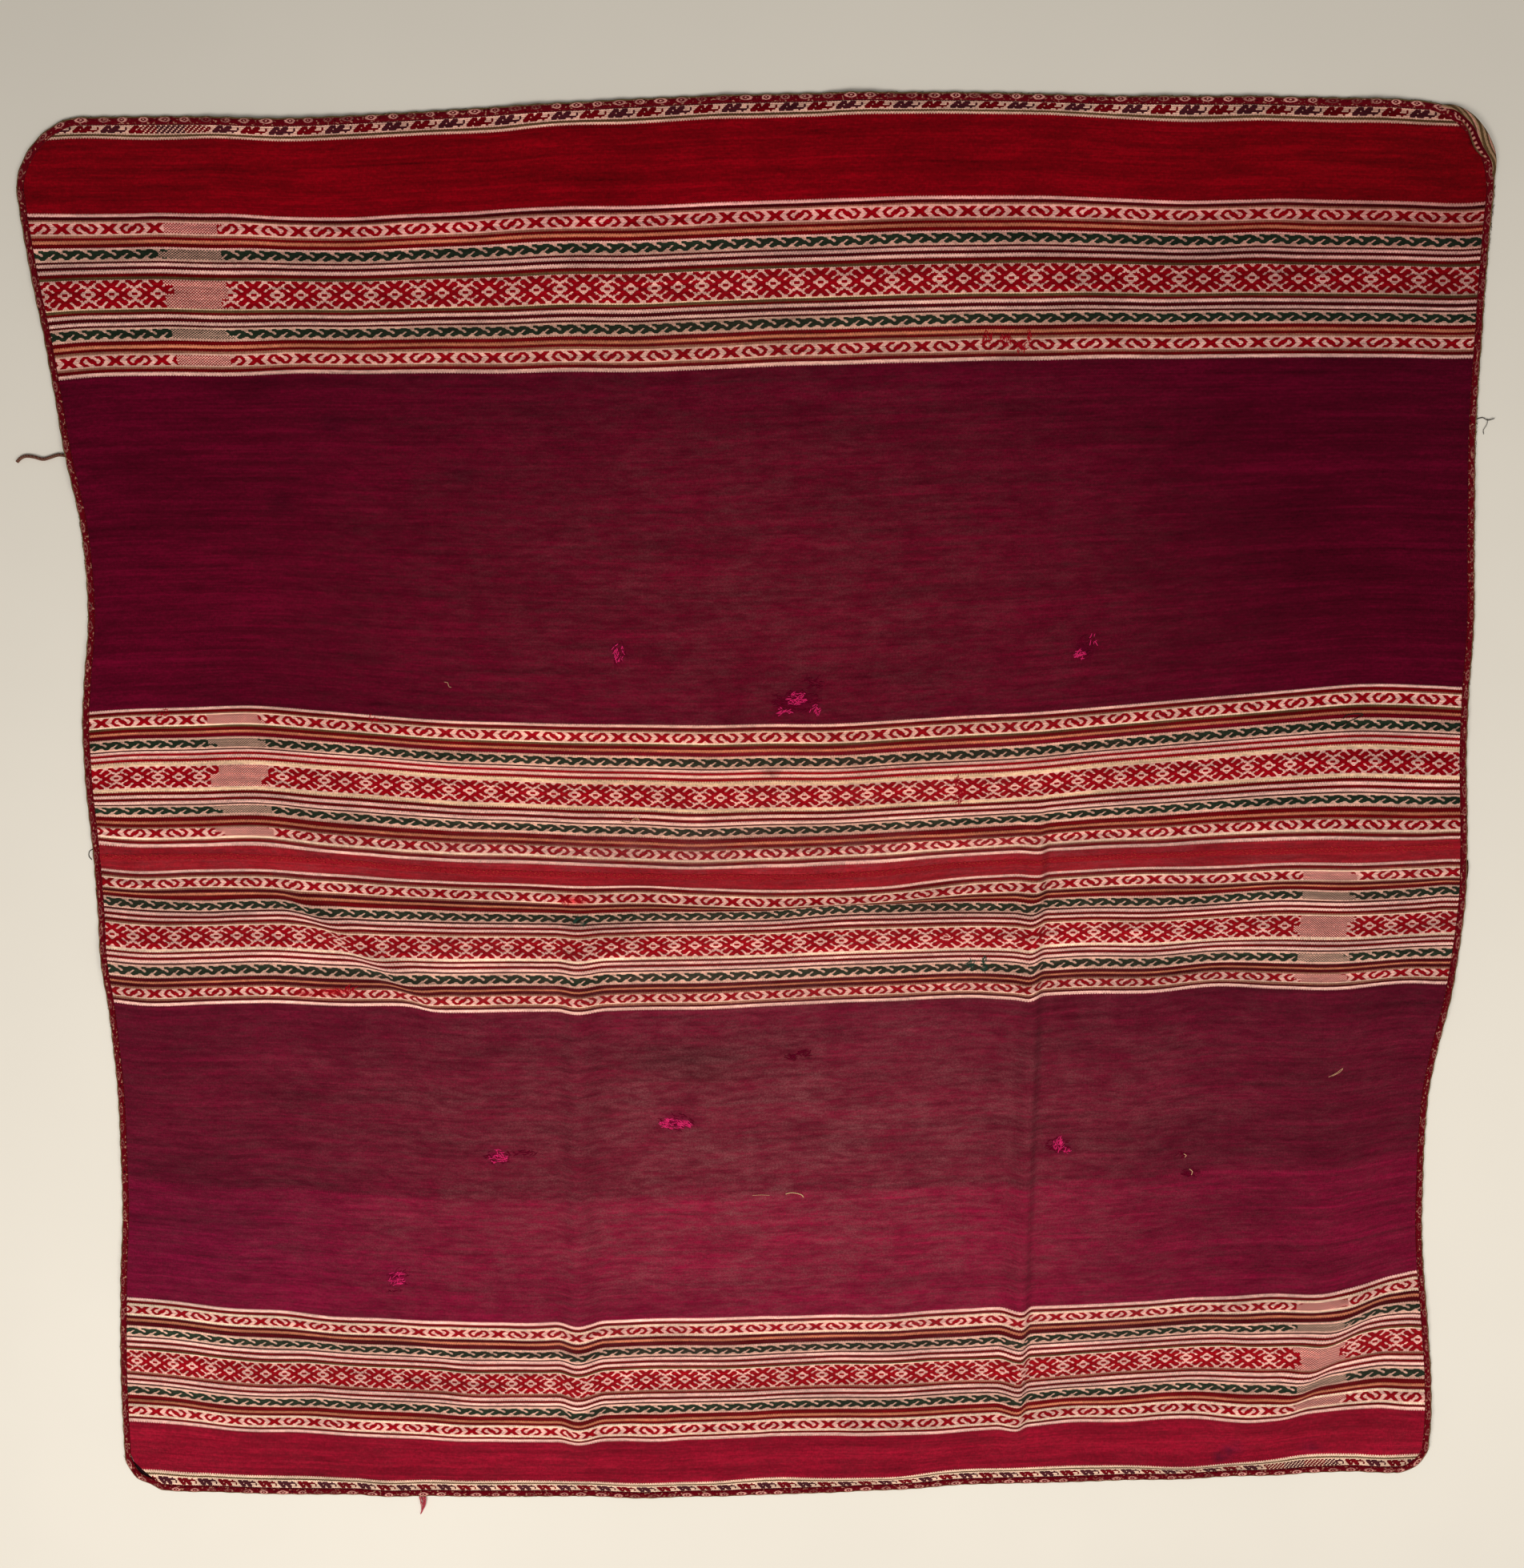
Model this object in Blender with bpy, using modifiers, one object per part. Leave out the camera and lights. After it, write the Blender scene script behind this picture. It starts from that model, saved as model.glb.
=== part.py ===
"""A hand-woven carrying cloth: two woven panels joined along the middle and
bound round the edge with a flat woven tube, laid out flat with a few soft folds.

Metres, +Z up, +Y towards the upper panel. The cloth rests on z = 0.
"""
import math
from collections import namedtuple

import bmesh
import bpy
import numpy as np
from mathutils import Vector
from mathutils.bvhtree import BVHTree

# Sheet, seam and edge sizes.
CLOTH_THICK = 0.0016
SEAM_WIDTH = 0.0036
SEAM_THICK = 0.0020
BINDING_WIDTH = 0.0050
BINDING_HEIGHT = 0.0030
BINDING_SIDES = 8
GAP = 0.0003
INSET = BINDING_WIDTH + GAP
NOMINAL_HALF = 0.538

# The middle of everything but the loose yarn, which the origin stands under.
MIDDLE = Vector((-0.0015, -0.0077, 0.0))

# Outline of the bound edge, before the corners are rounded.
Side = namedtuple("Side", "y left right")
SIDES = [
    Side(0.556, -0.5530, 0.5240),
    Side(0.475, -0.5490, 0.5210),
    Side(0.400, -0.5400, 0.5205),
    Side(0.325, -0.5320, 0.5215),
    Side(0.275, -0.5250, 0.5240),
    Side(0.225, -0.5220, 0.5280),
    Side(0.175, -0.5240, 0.5315),
    Side(0.100, -0.5345, 0.5320),
    Side(0.000, -0.5340, 0.5400),
    Side(-0.075, -0.5340, 0.5400),
    Side(-0.150, -0.5310, 0.5300),
    Side(-0.200, -0.5300, 0.5245),
    Side(-0.300, -0.5340, 0.5270),
    Side(-0.375, -0.5415, 0.5355),
    Side(-0.450, -0.5470, 0.5455),
    Side(-0.556, -0.5500, 0.5470),
]

End = namedtuple("End", "x top join bottom")
ENDS = [
    End(-0.553, 0.5460, 0.0002, -0.5520),
    End(-0.500, 0.5460, -0.0020, -0.5525),
    End(-0.425, 0.5460, -0.0008, -0.5550),
    End(-0.350, 0.5440, -0.0048, -0.5550),
    End(-0.250, 0.5480, -0.0123, -0.5560),
    End(-0.150, 0.5530, -0.0158, -0.5550),
    End(-0.050, 0.5570, -0.0173, -0.5540),
    End(0.050, 0.5585, -0.0163, -0.5500),
    End(0.150, 0.5580, -0.0078, -0.5425),
    End(0.250, 0.5550, -0.0023, -0.5390),
    End(0.350, 0.5540, 0.0018, -0.5340),
    End(0.450, 0.5510, 0.0045, -0.5290),
    End(0.485, 0.5490, 0.0052, -0.5275),
    End(0.550, 0.5490, 0.0077, -0.5270),
]

# Rounded corners: how far each reaches along the two edges, how round it is
# (1 a straight cut, 2 an arc), and the binding there, rolled over at one
# corner and standing a little off the panel at another.
Corner = namedtuple("Corner", "reach_x reach_y roundness width height slack")
CORNERS = {
    ("left", "upper"): Corner(0.047, 0.046, 1.70, 0.0050, 0.0030, 0.0003),
    ("right", "upper"): Corner(0.052, 0.057, 1.84, 0.0088, 0.0056, 0.0003),
    ("left", "lower"): Corner(0.027, 0.025, 1.15, 0.0050, 0.0034, 0.0040),
    ("right", "lower"): Corner(0.021, 0.019, 1.90, 0.0050, 0.0030, 0.0003),
}

# Soft ridges and wrinkles, each along a line from one point to another.
Fold = namedtuple("Fold", "x0 y0 x1 y1 half_width height fade")
FOLDS = [
    Fold(-0.151, -0.020, -0.163, -0.538, 0.024, 0.0090, 0.060),
    Fold(0.213, 0.065, 0.204, -0.522, 0.018, 0.0095, 0.060),
    Fold(-0.400, -0.016, -0.242, -0.142, 0.018, 0.0055, 0.045),
    Fold(0.098, 0.015, 0.238, 0.019, 0.013, 0.0055, 0.045),
    Fold(0.024, -0.037, 0.168, -0.025, 0.012, 0.0050, 0.045),
    Fold(0.412, -0.487, 0.500, -0.343, 0.024, 0.0055, 0.045),
    Fold(-0.532, -0.292, 0.080, -0.280, 0.032, 0.0040, 0.080),
    Fold(-0.428, 0.540, -0.356, 0.418, 0.030, 0.0035, 0.050),
    Fold(0.402, 0.540, 0.324, 0.388, 0.034, 0.0035, 0.055),
]

# Mesh lines of the panels: each stretch runs up to a place in even steps.
Stretch = namedtuple("Stretch", "until step")
COLUMNS = [
    Stretch(-0.410, 0.034),
    Stretch(-0.240, 0.021),
    Stretch(-0.190, 0.025),
    Stretch(-0.126, 0.0080),
    Stretch(0.020, 0.036),
    Stretch(0.180, 0.020),
    Stretch(0.236, 0.0070),
    Stretch(0.410, 0.035),
    Stretch(0.505, 0.0135),
    Stretch(NOMINAL_HALF, 0.0165),
]
UPPER_ROWS = [Stretch(0.006, 0.006), Stretch(0.048, 0.010), Stretch(0.410, 0.045), Stretch(0.500, 0.030)]
LOWER_ROWS = [
    Stretch(0.006, 0.006),
    Stretch(0.048, 0.008),
    Stretch(0.140, 0.020),
    Stretch(0.240, 0.033),
    Stretch(0.320, 0.016),
    Stretch(0.515, 0.020),
]
CORNER_ROWS = 5

# Small locks of yarn at the edge: stations out from the binding and along it,
# each with the lock's width and height there.
Lock = namedtuple("Lock", "out along width height")
TUFT_X = -0.2990
TUFT = [
    Lock(0.0000, 0.0000, 0.0084, 0.0030),
    Lock(0.0046, 0.0006, 0.0080, 0.0032),
    Lock(0.0096, 0.0005, 0.0056, 0.0028),
    Lock(0.0141, -0.0008, 0.0030, 0.0020),
    Lock(0.0176, -0.0022, 0.0012, 0.0012),
]
KNOT_Y = -0.0120
KNOT_REACH = 0.0026
KNOT = [
    Lock(KNOT_REACH, -0.0075, 0.0024, 0.0020),
    Lock(KNOT_REACH, -0.0030, 0.0050, 0.0034),
    Lock(KNOT_REACH, 0.0030, 0.0046, 0.0034),
    Lock(KNOT_REACH, 0.0075, 0.0024, 0.0020),
]
LOCK_SEGMENTS = 10
LOCK_RINGS = 12

# The loose yarn's route out from the binding and along it.
YARN_DIAMETER = 0.0024
YARN_Y = 0.3068
Bend = namedtuple("Bend", "out along")
YARN_ROUTE = [
    Bend(0.0000, 0.0000),
    Bend(0.0060, -0.0006),
    Bend(0.0124, 0.0012),
    Bend(0.0180, 0.0025),
    Bend(0.0248, 0.0008),
    Bend(0.0309, 0.0002),
    Bend(0.0350, 0.0018),
    Bend(0.0378, 0.0044),
]
YARN_POINTS = 16
PROBE_HEIGHT = 0.0012
PROBE_START = 0.7

COLOURS = {
    "panel_upper": (0.105, 0.008, 0.022),
    "panel_lower": (0.150, 0.012, 0.030),
    "join_seam": (0.260, 0.020, 0.045),
    "edge_binding": (0.130, 0.045, 0.030),
    "tuft_bottom": (0.300, 0.045, 0.070),
    "seam_knot": (0.070, 0.006, 0.010),
    "loose_end_left": (0.110, 0.060, 0.045),
}


def smooth(table, column, key, at):
    """Value of one table column at a place, on a smooth curve through its rows."""
    rows = sorted(table, key=lambda row: getattr(row, key))
    xs = [getattr(row, key) for row in rows]
    ys = [getattr(row, column) for row in rows]
    at = min(max(at, xs[0]), xs[-1])
    i = min(max(int(np.searchsorted(xs, at)) - 1, 0), len(xs) - 2)

    def slope(k):
        before, after = max(k - 1, 0), min(k + 1, len(xs) - 1)
        return (ys[after] - ys[before]) / (xs[after] - xs[before])

    span = xs[i + 1] - xs[i]
    u = (at - xs[i]) / span
    start = ys[i] * (1 + 2 * u) * (1 - u) ** 2 + slope(i) * span * u * (1 - u) ** 2
    finish = ys[i + 1] * u * u * (3 - 2 * u) - slope(i + 1) * span * u * u * (1 - u)
    return start + finish


def fade(value, width):
    """Rise smoothly from 0 to 1 as a distance grows to the width."""
    u = min(max(value / width, 0.0), 1.0)
    return u * u * (3 - 2 * u)


def lift(x, y):
    """Height of the cloth's underside above the floor."""
    height = 0.0
    for fold in FOLDS:
        along = Vector((fold.x1 - fold.x0, fold.y1 - fold.y0))
        length = along.length
        along.normalize()
        offset = Vector((x - fold.x0, y - fold.y0))
        distance = abs(along.x * offset.y - along.y * offset.x)
        if distance >= fold.half_width:
            continue
        run = offset.dot(along)
        ends = fade(run, fold.fade) * fade(length - run, fold.fade)
        crown = 0.5 + 0.5 * math.cos(math.pi * distance / fold.half_width)
        height = max(height, fold.height * crown * ends)
    return height


def end_line(panel, x):
    """Y of a panel's outer woven edge."""
    if panel == "upper":
        return smooth(ENDS, "top", "x", x) - INSET
    return smooth(ENDS, "bottom", "x", x) + INSET


def seam_line(panel, x):
    """Y of a panel's edge along the join."""
    half = SEAM_WIDTH / 2 + GAP
    return smooth(ENDS, "join", "x", x) + (half if panel == "upper" else -half)


def corner_trim(side, panel, x, y):
    """How far a rounded corner draws the side edge in at this height."""
    corner = CORNERS[side, panel]
    below_end = abs(end_line(panel, x) - y)
    u = min(max(1 - below_end / corner.reach_y, 0.0), 1.0)
    return corner.reach_x * (1 - (1 - u**corner.roundness) ** (1 / corner.roundness))


def side_line(side, panel, x, y):
    """X of a panel's side edge at a height."""
    trim = corner_trim(side, panel, x, y) + INSET
    edge = smooth(SIDES, side, "y", y)
    return edge + trim if side == "left" else edge - trim


def on_panel(panel, s, t):
    """Point of the cloth at s from left to right and t from the join outwards."""
    x = NOMINAL_HALF * (2 * s - 1)
    y = 0.5 * t * (1 if panel == "upper" else -1)
    for _ in range(12):
        y = seam_line(panel, x) * (1 - t) + end_line(panel, x) * t
        x = side_line("left", panel, x, y) * (1 - s) + side_line("right", panel, x, y) * s
    return Vector((x, y, lift(x, y)))


def on_seam(s, t):
    """Point of the joining strip at s from left to right and t across it."""
    lower, upper = on_panel("lower", s, 0.0), on_panel("upper", s, 0.0)
    lower.y += GAP
    upper.y -= GAP
    point = lower.lerp(upper, t)
    point.z = lift(point.x, point.y)
    return point


def places(start, stretches):
    """Mesh lines from a start through each stretch."""
    found = [start]
    for stretch in stretches:
        count = max(round((stretch.until - found[-1]) / stretch.step), 1)
        found += list(np.linspace(found[-1], stretch.until, count + 1)[1:])
    return found


def column_places():
    """Values of s at the panels' columns."""
    return [(x + NOMINAL_HALF) / (2 * NOMINAL_HALF) for x in places(-NOMINAL_HALF, COLUMNS)]


def row_places(panel, stretches):
    """Values of t at a panel's rows, close together where the corners round."""
    height = abs(end_line(panel, 0.0) - seam_line(panel, 0.0))
    reach = max(CORNERS["left", panel].reach_y, CORNERS["right", panel].reach_y)
    plain = [d for d in places(0.0, stretches) if d < height - reach]
    angles = [0.5 * math.pi * k / CORNER_ROWS for k in range(CORNER_ROWS + 1)]
    corner = [height - reach * (1 - math.sin(angle)) for angle in angles]
    return [d / height for d in plain + corner]


def make_material(name):
    """A woven-wool material in the piece's own colour."""
    material = bpy.data.materials.new(name + "_wool")
    material.use_nodes = True
    shader = material.node_tree.nodes["Principled BSDF"]
    shader.inputs["Base Color"].default_value = (*COLOURS[name], 1.0)
    shader.inputs["Roughness"].default_value = 0.92
    shader.inputs["Metallic"].default_value = 0.0
    return material


def finish_object(obj, name, collection):
    """Name a piece, dress it and put it in the cloth's collection."""
    obj.name = name
    obj.data.name = name
    obj.data.materials.clear()
    obj.data.materials.append(make_material(name))
    obj.location = -MIDDLE
    for owner in list(obj.users_collection):
        owner.objects.unlink(obj)
    collection.objects.link(obj)
    return obj


def add_mesh(name, bm, collection):
    """Turn a finished bmesh into a piece."""
    mesh = bpy.data.meshes.new(name)
    bm.to_mesh(mesh)
    bm.free()
    mesh.shade_smooth()
    obj = bpy.data.objects.new(name, mesh)
    collection.objects.link(obj)
    return finish_object(obj, name, collection)


def lay_sheet(name, across, along, place, thickness, collection):
    """A thin sheet: a grid laid out by a function of s and t, then given thickness."""
    bm = bmesh.new()
    bmesh.ops.create_grid(bm, x_segments=len(across) - 1, y_segments=len(along) - 1, size=0.5)
    for vert in bm.verts:
        s = across[round((vert.co.x + 0.5) * (len(across) - 1))]
        t = along[round((vert.co.y + 0.5) * (len(along) - 1))]
        vert.co = place(s, t)
    bmesh.ops.recalc_face_normals(bm, faces=bm.faces)
    if sum(face.normal.z for face in bm.faces) < 0:
        bmesh.ops.reverse_faces(bm, faces=bm.faces)
    obj = add_mesh(name, bm, collection)
    solidify = obj.modifiers.new("Thickness", "SOLIDIFY")
    solidify.thickness = thickness
    solidify.offset = 1.0
    return obj


def edge_loop(across, upper_rows, lower_rows):
    """The panels' outer edge, anticlockwise from the lower right corner, with its corners."""
    loop = [(on_panel("lower", 1.0, t), ("right", "lower")) for t in reversed(lower_rows)]
    loop += [(on_panel("upper", 1.0, t), ("right", "upper")) for t in upper_rows]
    for s in reversed(across[1:-1]):
        loop.append((on_panel("upper", s, 1.0), ("right" if s > 0.5 else "left", "upper")))
    loop += [(on_panel("upper", 0.0, t), ("left", "upper")) for t in reversed(upper_rows)]
    loop += [(on_panel("lower", 0.0, t), ("left", "lower")) for t in lower_rows]
    for s in across[1:-1]:
        loop.append((on_panel("lower", s, 1.0), ("right" if s > 0.5 else "left", "lower")))
    return loop


def corner_share(point, key):
    """How much of a corner's own binding a point of the edge takes, 0 to 1."""
    side, panel = key
    corner = CORNERS[key]
    end = end_line(panel, point.x)
    edge = smooth(SIDES, side, "y", point.y)
    off_x = abs(edge - point.x) / corner.reach_x
    off_y = abs(end - point.y) / corner.reach_y
    return fade(1.05 - max(off_x, off_y), 0.50)


def bind_edge(collection, across, upper_rows, lower_rows):
    """The woven tube round the edge: a ring whose section follows the cloth's outline."""
    loop = edge_loop(across, upper_rows, lower_rows)
    bpy.ops.mesh.primitive_torus_add(
        major_segments=len(loop), minor_segments=BINDING_SIDES, major_radius=1.0, minor_radius=0.1
    )
    obj = bpy.context.active_object
    half_step = math.pi / BINDING_SIDES
    for vert in obj.data.vertices:
        i, k = divmod(vert.index, BINDING_SIDES)
        point, key = loop[i]
        before, after = loop[i - 1][0], loop[(i + 1) % len(loop)][0]
        heading = (point - before).xy.normalized() + (after - point).xy.normalized()
        outward = Vector((heading.y, -heading.x)).normalized()
        share = corner_share(point, key)
        width = BINDING_WIDTH + share * (CORNERS[key].width - BINDING_WIDTH)
        height = BINDING_HEIGHT + share * (CORNERS[key].height - BINDING_HEIGHT)
        slack = GAP + share * (CORNERS[key].slack - GAP)
        angle = 2 * math.pi * k / BINDING_SIDES + half_step
        reach = slack + 0.5 * width * (1 + math.cos(angle) / math.cos(half_step))
        vert.co = (
            point.x + outward.x * reach,
            point.y + outward.y * reach,
            point.z + 0.5 * height * (1 + math.sin(angle) / math.cos(half_step)),
        )
    obj.data.shade_smooth()
    return finish_object(obj, "edge_binding", collection)


def root_on(ring, start, inward):
    """Where a small piece starts: a gap off the binding, met from outside."""
    corners = [vert.co for vert in ring.data.vertices]
    tree = BVHTree.FromPolygons(corners, [face.vertices for face in ring.data.polygons])
    start, inward = Vector((*start, PROBE_HEIGHT)), Vector((*inward, 0.0))
    return (tree.ray_cast(start, inward)[0] - inward * GAP).xy


def run_table(stations):
    """Distances along a line of stations that have out and along columns."""
    runs = [0.0]
    for a, b in zip(stations, stations[1:]):
        runs.append(runs[-1] + math.hypot(b.out - a.out, b.along - a.along))
    return runs


def read_column(stations, runs, column, run):
    """A column of the stations at a distance along them."""
    return float(np.interp(run, runs, [getattr(row, column) for row in stations]))


def make_lock(name, stations, root, outward, collection):
    """A flattened lock of yarn: a sphere drawn out along its stations."""
    runs = run_table(stations)
    outward = Vector(outward)
    sideways = Vector((-outward.y, outward.x))

    def spine(run):
        out = read_column(stations, runs, "out", run)
        along = read_column(stations, runs, "along", run)
        return root + outward * out + sideways * along

    bm = bmesh.new()
    bmesh.ops.create_uvsphere(bm, u_segments=LOCK_SEGMENTS, v_segments=LOCK_RINGS, radius=1.0)
    for vert in bm.verts:
        run = runs[-1] * (1 - vert.co.z) / 2
        step = 0.05 * runs[-1]
        heading = (spine(run + step) - spine(run - step)).normalized()
        across = 0.5 * read_column(stations, runs, "width", run) * vert.co.y
        place = spine(run) + Vector((-heading.y, heading.x)) * across
        height = 0.5 * read_column(stations, runs, "height", run) * (1 + vert.co.x)
        vert.co = (place.x, place.y, height)
    return add_mesh(name, bm, collection)


def make_yarn(name, root, outward, collection):
    """A loose end of yarn: a round curve through its route, lying on the floor."""
    outward = Vector(outward)
    sideways = Vector((-outward.y, outward.x))
    Station = namedtuple("Station", "run out along")
    table = [Station(run, *bend) for run, bend in zip(run_table(YARN_ROUTE), YARN_ROUTE)]
    curve = bpy.data.curves.new(name, "CURVE")
    curve.dimensions = "3D"
    spline = curve.splines.new("POLY")
    spline.points.add(YARN_POINTS - 1)
    for k, point in enumerate(spline.points):
        run = table[-1].run * k / (YARN_POINTS - 1)
        place = root + outward * smooth(table, "out", "run", run) + sideways * smooth(table, "along", "run", run)
        point.co = (place.x, place.y, YARN_DIAMETER / 2, 1.0)
    curve.bevel_depth = YARN_DIAMETER / 2
    curve.bevel_resolution = 2
    curve.use_fill_caps = True
    obj = bpy.data.objects.new(name, curve)
    collection.objects.link(obj)
    return finish_object(obj, name, collection)


def build():
    """Clear the scene and make the cloth."""
    for obj in list(bpy.data.objects):
        bpy.data.objects.remove(obj, do_unlink=True)
    collection = bpy.data.collections.new("aguayo_carrying_cloth")
    bpy.context.scene.collection.children.link(collection)

    across = column_places()
    upper_rows = row_places("upper", UPPER_ROWS)
    lower_rows = row_places("lower", LOWER_ROWS)

    def upper(s, t):
        return on_panel("upper", s, t)

    def lower(s, t):
        return on_panel("lower", s, t)

    lay_sheet("panel_upper", across, upper_rows, upper, CLOTH_THICK, collection)
    lay_sheet("panel_lower", across, lower_rows, lower, CLOTH_THICK, collection)
    lay_sheet("join_seam", across, [0.0, 1.0], on_seam, SEAM_THICK, collection)
    ring = bind_edge(collection, across, upper_rows, lower_rows)
    down, right, left = (0.0, -1.0), (1.0, 0.0), (-1.0, 0.0)
    tuft_root = root_on(ring, (TUFT_X, -PROBE_START), (0.0, 1.0))
    make_lock("tuft_bottom", TUFT, tuft_root, down, collection)
    make_lock("seam_knot", KNOT, root_on(ring, (PROBE_START, KNOT_Y), left), right, collection)
    make_yarn("loose_end_left", root_on(ring, (-PROBE_START, YARN_Y), right), left, collection)


build()
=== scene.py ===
"""A hand-woven carrying cloth laid out flat: its weave, edge, seam, mends and wear.

Everything is in metres in the row frame. The cloth's own tables are in millimetres, from
a point near the middle of the join, and ORIGIN takes them to the row frame.
"""

import logging
import math
from collections.abc import Callable, Sequence
from dataclasses import dataclass, field
from enum import Enum, IntEnum
from functools import partial
from typing import NamedTuple

import bpy
import numpy as np
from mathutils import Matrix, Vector


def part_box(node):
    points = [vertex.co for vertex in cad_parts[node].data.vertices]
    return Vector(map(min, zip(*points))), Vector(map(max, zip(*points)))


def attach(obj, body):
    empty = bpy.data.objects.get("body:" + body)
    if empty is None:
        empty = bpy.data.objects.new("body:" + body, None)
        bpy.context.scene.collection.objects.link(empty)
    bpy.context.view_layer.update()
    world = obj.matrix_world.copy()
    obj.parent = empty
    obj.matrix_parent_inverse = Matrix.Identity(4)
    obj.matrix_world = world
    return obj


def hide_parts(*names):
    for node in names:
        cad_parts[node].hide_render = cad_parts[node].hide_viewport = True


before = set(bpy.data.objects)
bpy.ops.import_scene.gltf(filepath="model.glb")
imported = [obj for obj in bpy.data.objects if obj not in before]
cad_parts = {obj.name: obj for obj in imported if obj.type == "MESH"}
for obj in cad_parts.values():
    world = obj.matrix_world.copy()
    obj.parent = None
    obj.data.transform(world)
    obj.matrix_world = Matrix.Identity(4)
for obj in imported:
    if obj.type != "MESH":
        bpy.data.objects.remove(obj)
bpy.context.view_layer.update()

LOG = logging.getLogger("carrying_cloth")
MM = 0.001
ORIGIN = np.array([1.5, 7.7])
Array = np.ndarray
Colour = tuple[int, int, int]
Range = tuple[float, float]
Line = Callable[[Array], Array]
Tube = tuple[Array, list[list[int]]]

# The cloth's sizes, in millimetres.
CLOTH_THICK = 1.6
SEAM_WIDTH = 3.6
SEAM_THICK = 2.0
BINDING_WIDTH = 5.0
BINDING_HEIGHT = 3.0
GAP = 0.3
INSET = BINDING_WIDTH + GAP
NOMINAL_HALF = 538.0


def soft_step(value: Array, width: Array | float) -> Array:
    """Rise smoothly from 0 to 1 as a value grows to a width."""
    u = np.clip(np.asarray(value) / width, 0.0, 1.0)
    return u * u * (3.0 - 2.0 * u)


def distances(points: Array) -> Array:
    """Distance along a line of flat points, at each of them."""
    return np.concatenate([[0.0], np.cumsum(np.hypot(*np.diff(points, axis=0).T))])


class SmoothLine:
    """A smooth curve through the rows of a table."""

    def __init__(self, places: Sequence[float], values: Sequence[float]) -> None:
        """Keep the rows in order of place, with the slope at each.

        Args:
            places: Where each row is.
            values: The value at each place.
        """
        order = np.argsort(places)
        self.xs = np.asarray(places, float)[order]
        self.ys = np.asarray(values, float)[order]
        before = np.maximum(np.arange(len(self.xs)) - 1, 0)
        after = np.minimum(np.arange(len(self.xs)) + 1, len(self.xs) - 1)
        self.slopes = (self.ys[after] - self.ys[before]) / (self.xs[after] - self.xs[before])

    def __call__(self, at: Array | float) -> Array:
        """Read the curve.

        Args:
            at: Places to read it at.

        Returns:
            The value at each place.
        """
        at = np.clip(at, self.xs[0], self.xs[-1])
        i = np.clip(np.searchsorted(self.xs, at) - 1, 0, len(self.xs) - 2)
        span = self.xs[i + 1] - self.xs[i]
        u = (at - self.xs[i]) / span
        start = self.ys[i] * (1 + 2 * u) * (1 - u) ** 2 + self.slopes[i] * span * u * (1 - u) ** 2
        finish = self.ys[i + 1] * u * u * (3 - 2 * u) - self.slopes[i + 1] * span * u * u * (1 - u)
        return start + finish


@dataclass(frozen=True)
class Table:
    """A small table with named columns."""

    columns: tuple[str, ...]
    rows: tuple[tuple[float, ...], ...]

    def column(self, name: str) -> Array:
        """One column's numbers."""
        return np.array(self.rows, float)[:, self.columns.index(name)]

    def line(self, name: str) -> SmoothLine:
        """A smooth curve through one column, by the place in the first."""
        return SmoothLine(self.column(self.columns[0]), self.column(name))


# Up the cloth: where its left and right edges are.
SIDES = Table(
    ("y", "left", "right"),
    (
        (556, -553.0, 524.0),
        (475, -549.0, 521.0),
        (400, -540.0, 520.5),
        (325, -532.0, 521.5),
        (275, -525.0, 524.0),
        (225, -522.0, 528.0),
        (175, -524.0, 531.5),
        (100, -534.5, 532.0),
        (0, -534.0, 540.0),
        (-75, -534.0, 540.0),
        (-150, -531.0, 530.0),
        (-200, -530.0, 524.5),
        (-300, -534.0, 527.0),
        (-375, -541.5, 535.5),
        (-450, -547.0, 545.5),
        (-556, -550.0, 547.0),
    ),
)
# Along the cloth: where its top edge, join and bottom edge are.
ENDS = Table(
    ("x", "top", "join", "bottom"),
    (
        (-553, 546.0, 0.2, -552.0),
        (-500, 546.0, -2.0, -552.5),
        (-425, 546.0, -0.8, -555.0),
        (-350, 544.0, -4.8, -555.0),
        (-250, 548.0, -12.3, -556.0),
        (-150, 553.0, -15.8, -555.0),
        (-50, 557.0, -17.3, -554.0),
        (50, 558.5, -16.3, -550.0),
        (150, 558.0, -7.8, -542.5),
        (250, 555.0, -2.3, -539.0),
        (350, 554.0, 1.8, -534.0),
        (450, 551.0, 4.5, -529.0),
        (485, 549.0, 5.2, -527.5),
        (550, 549.0, 7.7, -527.0),
    ),
)


class Corner(NamedTuple):
    """How far a corner is rounded along each edge, how round it is, and its binding."""

    reach_x: float
    reach_y: float
    roundness: float
    width: float
    height: float
    slack: float


CORNERS = {
    ("left", "upper"): Corner(47, 46, 1.70, 5.0, 3.0, 0.3),
    ("right", "upper"): Corner(52, 57, 1.84, 8.8, 5.6, 0.3),
    ("left", "lower"): Corner(27, 25, 1.15, 5.0, 3.4, 4.0),
    ("right", "lower"): Corner(21, 19, 1.90, 5.0, 3.0, 0.3),
}

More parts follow.
